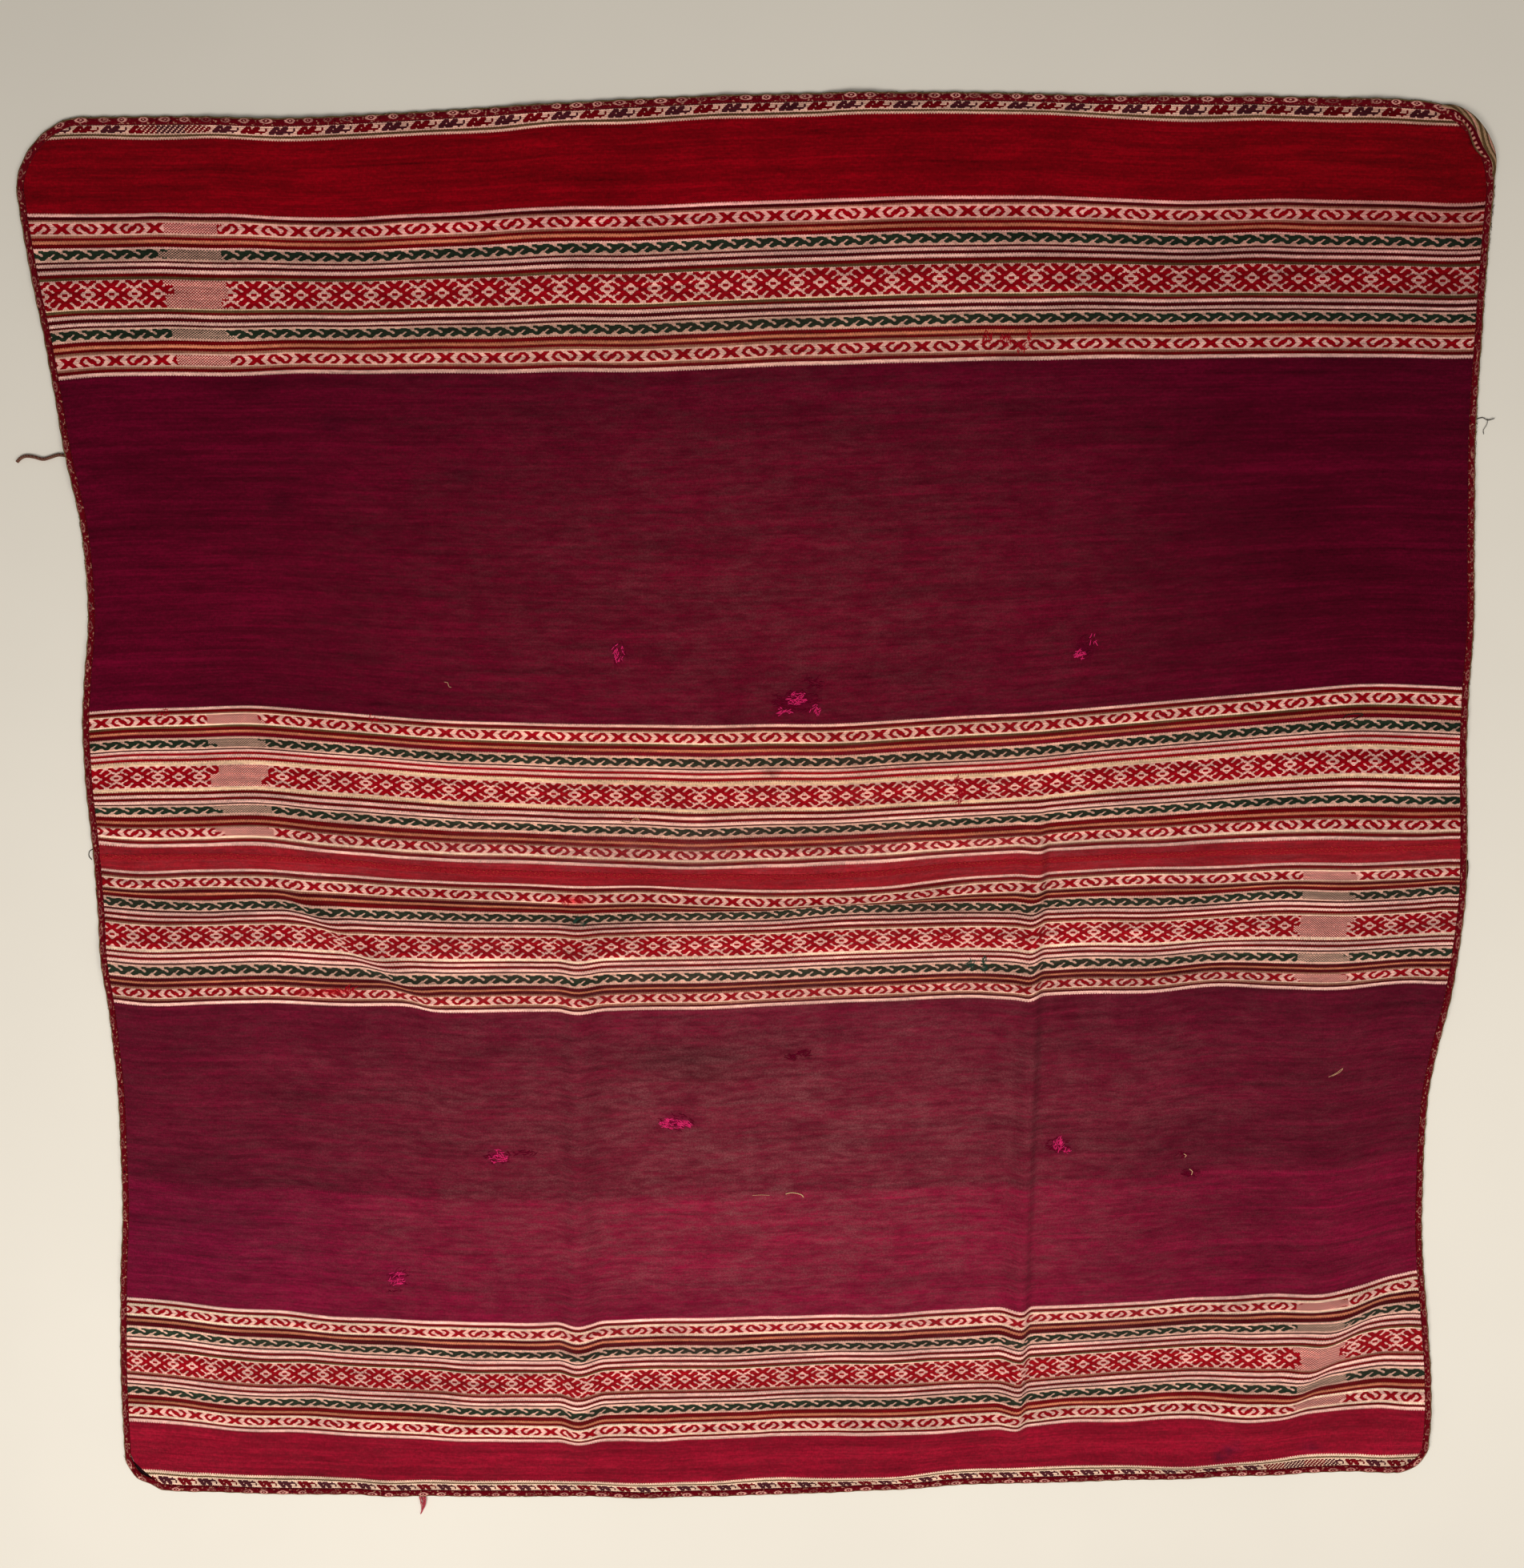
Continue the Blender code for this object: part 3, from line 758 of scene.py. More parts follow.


# The first ten patches are broad: they lighten the middle of the cloth and darken its sides and top, partly
# real fading and partly painted light and shade.
PATCHES = [
    Patch(430, 300, 300, 300, 0.80, 0.78, 0.82, -0.02),
    Patch(10, 200, 400, 230, 1.26, 1.15, 1.05, 0.085),
    Patch(-400, 250, 200, 200, 1.02, 1.0, 1.0, -0.01),
    Patch(-100, 510, 600, 60, 1.08, 0.8, 0.9, -0.02),
    Patch(480, 500, 200, 80, 0.9, 0.7, 0.7, -0.02),
    Patch(20, -200, 430, 110, 1.38, 1.3, 1.25, 0.18),
    Patch(-20, -330, 430, 90, 1.22, 1.1, 1.12, 0.14),
    Patch(380, -250, 150, 120, 0.86, 0.9, 0.9, -0.02),
    Patch(-480, -320, 190, 90, 0.80, 1.0, 0.96, -0.01),
    Patch(-440, -530, 160, 40, 0.88, 0.9, 0.9, 0.0),
    Patch(-60, -168, 58, 13, 0.52, 1.7, 0.62, -0.03),
    Patch(-50, -182, 26, 6, 0.75, 1.2, 0.7, 0.0),
    Patch(-327, 329, 14, 7, 0.62, 0.7, 0.75, 0.0),
    Patch(-370, 272, 12, 9, 0.66, 0.7, 0.75, 0.0),
    Patch(-233, 292, 14, 8, 0.66, 0.7, 0.75, 0.0),
    Patch(-83, 238, 20, 9, 0.72, 0.7, 0.75, 0.0),
    Patch(387, -505, 6, 4, 0.42, 1.0, 1.1, 0.0),
    Patch(381, -510, 7, 5, 0.4, 1.0, 1.1, 0.0),
    Patch(375, -515, 6, 4, 0.42, 1.0, 1.1, 0.0),
    Patch(449, -504, 9, 4, 0.5, 1.0, 1.2, 0.0),
    Patch(-349, -111, 14, 4, 1.1, 0.08, 0.14, 0.0),
    Patch(-374, -113, 8, 2.5, 1.1, 0.15, 0.2, 0.0),
    Patch(0, 0, 640, 22, 1.0, 1.0, 1.0, 0.14),
    Patch(-155, -36, 12, 4, 1.1, 0.08, 0.14, 0.0),
    Patch(-152, -51, 9, 4, 0.5, 0.5, 0.5, 0.0),
    Patch(0, 65, 7, 4, 0.35, 0.3, 0.3, 0.0),
    Patch(-117, 158, 6, 6, 1.25, 0.3, 1.9, -0.05),
    Patch(238, 160, 7, 7, 0.9, 0.3, 1.3, -0.05),
    Patch(20, 121, 17, 8, 0.95, 0.25, 1.3, -0.1),
    Patch(32, 135, 7, 5, 0.7, 0.3, 0.9, -0.05),
    Patch(-78, -221, 10, 5, 1.9, 0.2, 2.6, -0.2),
    Patch(-76, -219, 17, 9, 0.8, 0.5, 0.9, -0.1),
    Patch(-224, -250, 9, 6, 1.2, 0.3, 1.6, -0.1),
    Patch(-203, -247, 11, 2.5, 0.7, 0.4, 0.8, -0.05),
    Patch(231, -239, 8, 6, 1.2, 0.25, 1.7, -0.1),
    Patch(-310, -356, 8, 7, 1.2, 0.3, 1.6, -0.1),
    Patch(337, -262, 6, 4, 0.5, 0.4, 0.6, -0.05),
    Patch(15, -165, 5, 3, 0.45, 0.3, 0.35, -0.15),
    Patch(28, -162, 6, 2.5, 0.45, 0.3, 0.35, -0.15),
    Patch(48, -172, 7, 2, 0.6, 0.5, 0.5, -0.05),
    Patch(-132, -210, 6, 4, 0.65, 0.5, 0.6, -0.05),
    Patch(-138, -217, 8, 3, 0.65, 0.5, 0.6, -0.05),
    Patch(40, -228, 12, 2.5, 0.7, 0.5, 0.6, -0.05),
]


def paint(colour: Colour) -> tuple[float, ...]:
    """Shader colour of an 8-bit screen colour."""
    shares = [value / 255 for value in colour]
    return *(s / 12.92 if s <= 0.04045 else ((s + 0.055) / 1.055) ** 2.4 for s in shares), 1.0


class Value:
    """An output of a node tree, with plain arithmetic."""

    def __init__(self, graph: "Graph", socket: bpy.types.NodeSocket) -> None:
        """Keep the socket and the tree it is in."""
        self.graph = graph
        self.socket = socket

    def __add__(self, other: "Value | float") -> "Value":
        """Sum."""
        return self.graph.math("ADD", self, other)

    __radd__ = __add__

    def __sub__(self, other: "Value | float") -> "Value":
        """Difference."""
        return self.graph.math("SUBTRACT", self, other)

    def __rsub__(self, other: float) -> "Value":
        """Difference from a number."""
        return self.graph.math("SUBTRACT", other, self)

    def __mul__(self, other: "Value | float") -> "Value":
        """Product."""
        return self.graph.math("MULTIPLY", self, other)

    def __truediv__(self, other: "Value | float") -> "Value":
        """Quotient."""
        return self.graph.math("DIVIDE", self, other)

    def __mod__(self, other: "Value | float") -> "Value":
        """Rest after the whole steps below it."""
        return self.graph.math("FLOORED_MODULO", self, other)

    def __pow__(self, other: float) -> "Value":
        """Power."""
        return self.graph.math("POWER", self, other)

    def __gt__(self, other: "Value | float") -> "Value":
        """1 where it is greater."""
        return self.graph.math("GREATER_THAN", self, other)

    def __lt__(self, other: "Value | float") -> "Value":
        """1 where it is less."""
        return self.graph.math("LESS_THAN", self, other)

    def __abs__(self) -> "Value":
        """Size without its sign."""
        return self.graph.math("ABSOLUTE", self)


Inputs = dict[str | int, object]


class Graph:
    """A node tree that is being built."""

    def __init__(self, tree: bpy.types.NodeTree) -> None:
        """Start on a tree."""
        self.tree = tree

    def node(self, kind: str, inputs: Inputs | None = None, **settings: object) -> bpy.types.Node:
        """Add a node.

        Args:
            kind: The node's type.
            inputs: A number, colour or output for each input, by name or place.
            **settings: Properties of the node.

        Returns:
            The node.
        """
        node = self.tree.nodes.new(kind)
        for name, value in settings.items():
            setattr(node, name, value)
        for name, value in (inputs or {}).items():
            self.feed(node.inputs[name], value)
        return node

    def feed(self, socket: bpy.types.NodeSocket, value: object) -> None:
        """Link an input to an output, or set its value.

        Args:
            socket: The input.
            value: The output, number or colour.
        """
        if isinstance(value, Value):
            self.tree.links.new(value.socket, socket)
        else:
            socket.default_value = value

    def out(self, node: bpy.types.Node, name: str | int = 0) -> Value:
        """One of a node's outputs."""
        return Value(self, node.outputs[name])

    def math(self, operation: str, *values: Value | float) -> Value:
        """Output of a Math node."""
        return self.out(self.node("ShaderNodeMath", dict(enumerate(values)), operation=operation))

    def wave(self, run: Value) -> Value:
        """A number folded to run from 0 to 1 and back in each turn."""
        return self.math("PINGPONG", run, 0.5) * 2.0

    def between(self, value: Value, low: float, high: float, start: float = 0.0, end: float = 1.0) -> Value:
        """A value spread smoothly from one range to another."""
        inputs = {"Value": value, "From Min": low, "From Max": high, "To Min": start, "To Max": end}
        return self.out(self.node("ShaderNodeMapRange", inputs, interpolation_type="SMOOTHSTEP"), "Result")

    def choose(self, share: Value, first: Value, second: Value) -> Value:
        """First where the share is 0 and second where it is 1, for numbers."""
        inputs = {"Factor": share, "A": first, "B": second}
        return self.out(self.node("ShaderNodeMix", inputs, data_type="FLOAT"), "Result")

    def blend(self, share: Value | float, first: object, second: object, kind: str = "MIX") -> Value:
        """Two colours put together by a Mix node, whose colours are inputs 6 and 7 and output 2."""
        inputs = {0: share, 6: first, 7: second}
        return self.out(self.node("ShaderNodeMix", inputs, data_type="RGBA", blend_type=kind), 2)

    def shaded(self, colour: object, shade: Value) -> Value:
        """A colour made darker or lighter."""
        return self.blend(1.0, colour, self.point(shade, shade, shade), "MULTIPLY")

    def point(self, x: Value | float, y: Value | float, z: Value | float = 0.0) -> Value:
        """A vector from three numbers."""
        return self.out(self.node("ShaderNodeCombineXYZ", {0: x, 1: y, 2: z}))

    def noise(self, vector: Value, scale: float, detail: float = 2.0, roughness: float = 0.5) -> Value:
        """A noise texture's value."""
        inputs = {"Vector": vector, "Scale": scale, "Detail": detail, "Roughness": roughness}
        return self.out(self.node("ShaderNodeTexNoise", inputs), "Fac")

    def attribute(self, name: str, output: str = "Vector") -> Value:
        """An attribute of the mesh."""
        return self.out(self.node("ShaderNodeAttribute", attribute_name=name), output)

    def corner_map(self, name: str) -> tuple[Value, Value, Value]:
        """The two numbers of a mesh's corner map, and 0."""
        return self.split(self.out(self.node("ShaderNodeUVMap", uv_map=name)))

    def split(self, vector: Value) -> tuple[Value, Value, Value]:
        """The three numbers of a vector."""
        node = self.node("ShaderNodeSeparateXYZ", {0: vector})
        return self.out(node, 0), self.out(node, 1), self.out(node, 2)


class Effect:
    """A shader node group with named inputs and outputs, built once."""

    name = ""
    inputs: dict[str, str] = {}
    outputs: dict[str, str] = {}

    def fill(self, graph: Graph, given: dict[str, Value]) -> dict[str, Value]:
        """Build the group's nodes.

        Args:
            graph: The group's tree.
            given: Its inputs.

        Returns:
            A value for each output.
        """
        raise NotImplementedError

    def tree(self) -> bpy.types.NodeTree:
        """Find the group's tree, or make it the first time it is asked for.

        Returns:
            The tree.
        """
        found = bpy.data.node_groups.get(self.name)
        if found:
            return found
        tree = bpy.data.node_groups.new(self.name, "ShaderNodeTree")
        for way, sockets in (("INPUT", self.inputs), ("OUTPUT", self.outputs)):
            for name, kind in sockets.items():
                tree.interface.new_socket(name, in_out=way, socket_type=kind)
        graph = Graph(tree)
        entry = graph.node("NodeGroupInput")
        exit_node = graph.node("NodeGroupOutput")
        for name, value in self.fill(graph, {name: graph.out(entry, name) for name in self.inputs}).items():
            graph.feed(exit_node.inputs[name], value)
        return tree

    def place(self, graph: Graph, **values: Value | float) -> dict[str, Value]:
        """Put the group in a material.

        Args:
            graph: The material's tree.
            **values: Its inputs, with underscores for spaces.

        Returns:
            Its outputs by name.
        """
        node = graph.node("ShaderNodeGroup", node_tree=self.tree())
        for name, value in values.items():
            graph.feed(node.inputs[name.replace("_", " ")], value)
        return {name: graph.out(node, name) for name in self.outputs}


FLOAT = "NodeSocketFloat"
COLOUR = "NodeSocketColor"
VECTOR = "NodeSocketVector"


class DyeChart(Effect):
    """Colour of a yarn by its number."""

    name = "dye chart"
    inputs = {"Yarn": FLOAT}
    outputs = {"Colour": COLOUR}

    def fill(self, graph: Graph, given: dict[str, Value]) -> dict[str, Value]:
        """One constant stop for each yarn.

        Args:
            graph: The group's tree.
            given: Its inputs.

        Returns:
            A value for each output.
        """
        ramp = graph.node("ShaderNodeValToRGB", {"Fac": (given["Yarn"] + 0.5) / float(len(Yarn))})
        ramp.color_ramp.interpolation = "CONSTANT"
        stops = ramp.color_ramp.elements
        while len(stops) > 1:
            stops.remove(stops[-1])
        stops[0].position = 0.0
        for yarn in Yarn:
            stop = stops.new(yarn / len(Yarn)) if yarn else stops[0]
            stop.color = paint(yarn.colour)
        return {"Colour": graph.out(ramp, "Color")}


class ChartCell(Effect):
    """The bit of a chart's row at a whole column."""

    name = "chart cell"
    inputs = {"Column": FLOAT, "Code": FLOAT, "Next Code": FLOAT, "Straight": FLOAT}
    outputs = {"Bit": FLOAT}

    def fill(self, graph: Graph, given: dict[str, Value]) -> dict[str, Value]:
        """Fold the column back into the chart, pick the half it is in and take its bit.

        Args:
            graph: The group's tree.
            given: Its inputs.

        Returns:
            A value for each output.
        """
        span = 2.0 * CHART_COLUMNS
        forward = given["Column"] % span
        there = given["Column"] % (2 * span)
        folded = graph.math("MINIMUM", there, 2 * span - 1 - there)
        column = graph.choose(given["Straight"], folded, forward)
        in_next = column > CHART_COLUMNS - 0.5
        bit = graph.choose(in_next, column, span - 1 - column)
        code = graph.choose(in_next, given["Code"], given["Next Code"])
        shifted = (code + 0.5) / graph.math("POWER", 2.0, bit)
        return {"Bit": graph.math("FLOOR", shifted) % 2.0}


class ChartedFigure(Effect):
    """Whether a spot of a picked stripe shows its figure yarn, with the chart's steps smoothed."""

    name = "charted figure"
    inputs = {
        "Column": FLOAT,
        "Across": FLOAT,
        "Row": FLOAT,
        "Codes": VECTOR,
        "Next Codes": VECTOR,
        "Repeat": FLOAT,
        "Dots": FLOAT,
    }
    outputs = {"Figure": FLOAT, "Turn": FLOAT, "Bead": FLOAT}
    EDGE = 0.38
    MIRRORED_EDGE = 0.12
    VINE_EDGE = -0.08
    BEAD_REACH = (0.27, 0.17)
    BEAD_LEVEL = (0.16, 0.06)

    def fill(self, graph: Graph, given: dict[str, Value]) -> dict[str, Value]:
        """Weigh the nearest four cells, and make dots where the warp was closed.

        Args:
            graph: The group's tree.
            given: Its inputs.

        Returns:
            A value for each output.
        """
        column = graph.math("FLOOR", given["Column"])
        off = graph.math("FRACT", given["Column"]) - 0.5
        beside_it = column + graph.math("SIGN", off)
        drop = given["Across"] - 0.5
        share_x, share_y, low = abs(off), abs(drop), drop > 0.0
        straight = given["Repeat"] > Repeat.TURNED + 0.5
        above, own, below = graph.split(given["Codes"])
        next_above, next_own, next_below = graph.split(given["Next Codes"])
        other = graph.choose(low, above, below)
        next_other = graph.choose(low, next_above, next_below)
        levels = []
        for code, next_code in ((own, next_own), (other, next_other)):
            codes = {"Code": code, "Next_Code": next_code, "Straight": straight}
            here, there = (ChartCell().place(graph, Column=at, **codes)["Bit"] for at in (column, beside_it))
            levels.append(graph.choose(share_x, here, there))
        level = graph.choose(share_y, *levels)
        turn = graph.math("FLOOR", column / float(CHART_COLUMNS)) % 2.0
        alternate = given["Repeat"] > Repeat.STRAIGHT + 0.5
        dots = (column + given["Row"]) % (alternate + 2.0) < alternate + 1.0
        mirrored = graph.math("COMPARE", given["Repeat"], float(Repeat.MIRRORED), 0.5)
        is_vine = graph.math("COMPARE", given["Repeat"], float(Repeat.STRAIGHT), 0.5)
        edge = mirrored * self.MIRRORED_EDGE + (is_vine * self.VINE_EDGE + self.EDGE)
        reach = share_y + (0.5 - share_x)
        bead = graph.between(reach, *self.BEAD_REACH) * graph.between(level, *self.BEAD_LEVEL)
        return {
            "Figure": graph.choose(given["Dots"], level > edge, dots),
            "Turn": turn * alternate,
            "Bead": bead * (mirrored + is_vine),
        }


class Teeth(Effect):
    """Small teeth where the turns of one yarn bite into the next."""

    name = "stripe teeth"
    inputs = {"Along": FLOAT, "Across": FLOAT, "Pitch": FLOAT, "Depth": FLOAT}
    outputs = {"Before": FLOAT, "After": FLOAT}
    WANDER_SCALE = 160.0

    def fill(self, graph: Graph, given: dict[str, Value]) -> dict[str, Value]:
        """Compare the place across the stripe with a zigzag along it.

        Args:
            graph: The group's tree.
            given: Its inputs.

        Returns:
            A value for each output.
        """
        wander = graph.noise(graph.point(given["Along"], given["Across"]), self.WANDER_SCALE)
        depth = graph.wave(given["Along"] / given["Pitch"] + wander) * given["Depth"]
        back = given["Depth"] - depth
        return {"Before": given["Across"] < depth, "After": given["Across"] > 1.0 - back}


class WarpRelief(Effect):
    """The grain of warp-faced cloth: rows of floats with the weft's fine ribs across them."""

    name = "warp relief"
    inputs = {"Along": FLOAT, "Across": FLOAT, "Yarn Width": FLOAT, "Pick": FLOAT}
    outputs = {"Height": FLOAT, "Shade": FLOAT}
    WOBBLE_SCALE = 900.0
    WOBBLE = 0.9
    FLOAT_RISE = 0.6
    DARKEST, LIGHTEST = 0.80, 1.06

    def fill(self, graph: Graph, given: dict[str, Value]) -> dict[str, Value]:
        """Each yarn is a rounded row, and its floats rise and dive by turns.

        Args:
            graph: The group's tree.
            given: Its inputs.

        Returns:
            A value for each output.
        """
        spot = graph.point(given["Along"], given["Across"])
        wobble = (graph.noise(spot, self.WOBBLE_SCALE) - 0.5) * self.WOBBLE
        row = given["Across"] / given["Yarn Width"] + wobble
        rounded = graph.wave(row) ** 0.5
        run = given["Along"] / given["Pick"] + graph.math("FLOOR", row) * 0.5 + wobble
        height = rounded * (graph.wave(run) * self.FLOAT_RISE + (1 - self.FLOAT_RISE))
        return {"Height": height, "Shade": graph.between(height, 0.0, 0.75, self.DARKEST, self.LIGHTEST)}


class Streak(NamedTuple):
    """A layer of noise: how fine it is along and across the yarn, and how strong."""

    along: float
    across: float
    weight: float


class Cloud(NamedTuple):
    """A layer of noise that scatters pale specks, partly rubbed pale fibre and partly painted glints: its
    grain, its level and what it is spread to.
    """

    along: float
    across: float
    level: float
    detail: float
    roughness: float
    low: float
    high: float
    least: float
    most: float


class Abrash(Effect):
    """Uneven dye and rubbing: streaks along the yarn, broad soft changes, and pale specks that are partly
    pale fibre and partly painted glints of light on the wool.
    """

    name = "uneven dye"
    inputs = {"Along": FLOAT, "Across": FLOAT, "Strength": FLOAT}
    outputs = {"Light": FLOAT, "Specks": FLOAT}
    STREAKS = (
        Streak(3.0, 620.0, 0.80),
        Streak(14.0, 260.0, 0.85),
        Streak(2.0, 90.0, 0.70),
        Streak(900.0, 420.0, 0.80),
        Streak(260.0, 760.0, 0.90),
        Streak(50.0, 260.0, 0.70),
        Streak(12.0, 60.0, 0.45),
        Streak(7.0, 10.0, 0.35),
    )
    CLOUDS = (
        Cloud(640.0, 760.0, 41.0, 2.0, 0.7, 0.35, 0.70, 0.55, 1.5),
        Cloud(70.0, 260.0, 57.0, 2.0, 0.5, 0.3, 0.7, 0.5, 1.5),
        Cloud(24.0, 40.0, 83.0, 3.0, 0.6, 0.32, 0.68, 0.6, 1.4),
    )
    LAYER_GAP = 3.7
    BASE_LIGHT = 0.97
    LEAST_LIGHT = 0.15
    DARK_SHARE = 0.6

    def fill(self, graph: Graph, given: dict[str, Value]) -> dict[str, Value]:
        """Add layers of noise, from long thin streaks to flecks and clouds.

        Args:
            graph: The group's tree.
            given: Its inputs.

        Returns:
            A value for each output.
        """

        def layer(along: float, across: float, level: float, detail: float, roughness: float) -> Value:
            """Noise as fine along and across the yarn as asked, at a level of its own."""
            spot = graph.point(given["Along"] * along, given["Across"] * across, level)
            return graph.noise(spot, 1.0, detail, roughness)

        total = sum(
            (layer(streak.along, streak.across, self.LAYER_GAP * step, 2.0, 0.6) - 0.5) * streak.weight
            for step, streak in enumerate(self.STREAKS)
        )
        light, dark = graph.math("MAXIMUM", total, 0.0), graph.math("MINIMUM", total, 0.0)
        total = (light + dark * self.DARK_SHARE) * given["Strength"] + self.BASE_LIGHT
        specks, streaks, clouds = (graph.between(layer(*cloud[:5]), *cloud[5:]) for cloud in self.CLOUDS)
        return {"Light": graph.math("MAXIMUM", total, self.LEAST_LIGHT), "Specks": specks * streaks * clouds}


def new_material(name: str) -> tuple[bpy.types.Material, Graph, bpy.types.Node]:
    """Make a material.

    Args:
        name: The material's name.

    Returns:
        The material, its graph and its Principled shader.
    """
    material = bpy.data.materials.new(name)
    material.use_nodes = True
    return material, Graph(material.node_tree), material.node_tree.nodes["Principled BSDF"]


@dataclass(frozen=True)
class Wool:
    """A woollen finish: its colour and relief, over how every wool piece takes the light."""

    name: str
    SURFACE = {"Roughness": 0.95, "Sheen Weight": 0.015, "Sheen Roughness": 0.5, "Specular IOR Level": 0.04}
    STRENGTH = 0.8
    RELIEF = 0.0005

    def look(self, graph: Graph) -> tuple[Value, Value]:
        """Build the finish's own nodes.

        Args:
            graph: The material's tree.

        Returns:
            Its colour and its height.
        """
        raise NotImplementedError

    def material(self) -> bpy.types.Material:
        """Make the finished material.

        Returns:
            The material.
        """
        material, graph, shader = new_material(self.name)
        for name, value in self.SURFACE.items():
            shader.inputs[name].default_value = value
        colour, height = self.look(graph)
        graph.feed(shader.inputs["Base Color"], colour)
        relief = {"Height": height, "Strength": self.STRENGTH, "Distance": self.RELIEF}
        bump = graph.node("ShaderNodeBump", relief)
        graph.feed(shader.inputs["Normal"], graph.out(bump))
        return material


@dataclass(frozen=True)
class WovenCloth(Wool):
    """The panels' finish: every stripe in its own yarn, picked where it is charted."""

    yarn_width: float = 0.00062
    pick: float = 0.0016
    tooth_pitch: float = 0.0020
    tooth_depth: float = 0.17
    bead_shade: float = 0.30
    unevenness: float = 1.45
    # The pale speck colour: partly rubbed fibre, partly painted glint on the wool.
    worn_and_glint: Colour = (158, 92, 94)
    RELIEF = 0.00045

    def look(self, graph: Graph) -> tuple[Value, Value]:
        """Pick each spot's yarn, then dye and shade it, and mix in pale specks that are partly rubbed fibre
        and partly painted glint.

        Args:
            graph: The material's tree.

        Returns:
            Its colour and its height.
        """
        along, across, _ = graph.corner_map("weave")
        column, in_stripe, _ = graph.corner_map("pattern")
        yarn, before, after = graph.split(graph.attribute("yarns"))
        ground, row, repeat = graph.split(graph.attribute("kind"))
        codes, next_codes = graph.attribute("chart"), graph.attribute("next_chart")
        place = {"Column": column, "Across": in_stripe, "Row": row, "Codes": codes, "Next_Codes": next_codes}
        figure = ChartedFigure().place(graph, Repeat=repeat, Dots=graph.attribute("dots", "Fac"), **place)
        chosen = graph.choose(figure["Figure"], ground, yarn + figure["Turn"])
        tooth = {"Pitch": self.tooth_pitch, "Depth": self.tooth_depth}
        teeth = Teeth().place(graph, Along=along, Across=in_stripe, **tooth)
        chosen = graph.choose(teeth["Before"], chosen, before)
        chosen = graph.choose(teeth["After"], chosen, after)
        spot = {"Along": along, "Across": across}
        relief = WarpRelief().place(graph, **spot, Yarn_Width=self.yarn_width, Pick=self.pick)
        uneven = Abrash().place(graph, **spot, Strength=self.unevenness)
        beads = graph.between(figure["Bead"], 0.0, 1.0, 1.0, self.bead_shade)
        shade = relief["Shade"] * uneven["Light"] * beads
        dyed = DyeChart().place(graph, Yarn=chosen)["Colour"]
        # The tint multiplies in the patches, partly stains and fading and partly painted light and shade.
        colour = graph.shaded(graph.blend(1.0, dyed, graph.attribute("tint", "Color"), "MULTIPLY"), shade)
        # Pale specks: partly rubbed pale fibre and partly painted glints, stronger where the tint's alpha is
        # higher.
        dust_and_glints = uneven["Specks"] * graph.attribute("tint", "Alpha")
        return graph.blend(dust_and_glints, colour, paint(self.worn_and_glint)), relief["Height"] + figure["Figure"] * 0.5


@dataclass(frozen=True)
class EyeBand(Wool):
    """The edge's tubular weave: small eyes in a row on dark red, with an olive outer rim."""

    name: str = "edge_band_wool"
    spacing: float = 0.0150
    eye_half: float = 0.25
    eye_turn: float = 0.235
    eye_height: float = 0.10
    girth: float = 0.013
    yarn_width: float = 0.0008
    pick: float = 0.0021
    unevenness: float = 0.5
    wander: float = 0.9
    frayed: float = 0.6
    ring_inside: Range = (0.62, 0.72)
    ring_outside: Range = (1.12, 0.98)
    pupil: Range = (0.34, 0.22)
    clear: tuple[float, float, float, float] = (0.40, 0.58, 0.15, 1.0)
    rim: Range = (0.18, 0.14)
    rim_back: Range = (0.97, 0.98)
    rim_worn: Range = (0.25, 0.45)
    flecked: Range = (0.60, 0.66)
    specked: Range = (0.36, 0.32)
    ground: Colour = (104, 4, 18)
    olive: Colour = (122, 104, 66)
    fleck: Colour = (184, 128, 104)
    speck: Colour = (30, 8, 10)
    eye: Colour = (240, 164, 150)
    STRENGTH = 0.9

    def look(self, graph: Graph) -> tuple[Value, Value]:
        """Set the eyes along the band and fleck the ground between them.

        Args:
            graph: The material's tree.

        Returns:
            Its colour and its height.
        """
        run, turn, _ = graph.corner_map("weave")

        def noise(along: float, round_it: float) -> Value:
            """Noise as fine along and round the band as asked."""
            return graph.noise(graph.point(run * along, turn * round_it), 1.0)

        wander = graph.noise(graph.point(run, 0.0), 30.0)
        step = run / self.spacing + wander * self.wander
        eye_x = abs(graph.math("FRACT", step) - 0.5) / self.eye_half
        eye_y = (turn - self.eye_turn) / self.eye_height
        reach = graph.math("SQRT", eye_x**1.5 + eye_y**2.0) + (noise(900.0, 40.0) - 0.5) * self.frayed
        ring = graph.between(reach, *self.ring_inside) * graph.between(reach, *self.ring_outside)
        pupil = graph.between(reach, *self.pupil)
        clear = graph.between(graph.noise(graph.point(run, 9.0), 22.0, 1.0), *self.clear)
        clear = clear * graph.attribute("showing", "Fac")
        rim = graph.between(turn, *self.rim) * graph.between(noise(120.0, 1.0), *self.rim_worn)
        rim = graph.math("MAXIMUM", rim, graph.between(turn, *self.rim_back))
        flecks = noise(420.0, 9.0)
        base = graph.blend(rim, paint(self.ground), paint(self.olive))
        base = graph.blend(graph.between(flecks, *self.flecked), base, paint(self.fleck))
        base = graph.blend(graph.between(flecks, *self.specked), base, paint(self.speck))
        colour = graph.blend(graph.math("MAXIMUM", ring, pupil) * clear, base, paint(self.eye))
        size = {"Yarn_Width": self.yarn_width, "Pick": self.pick}
        relief = WarpRelief().place(graph, Along=run, Across=turn * self.girth, **size)
        light = Abrash().place(graph, Along=run, Across=turn, Strength=self.unevenness)["Light"]
        return graph.shaded(colour, relief["Shade"] * light), relief["Height"] + ring


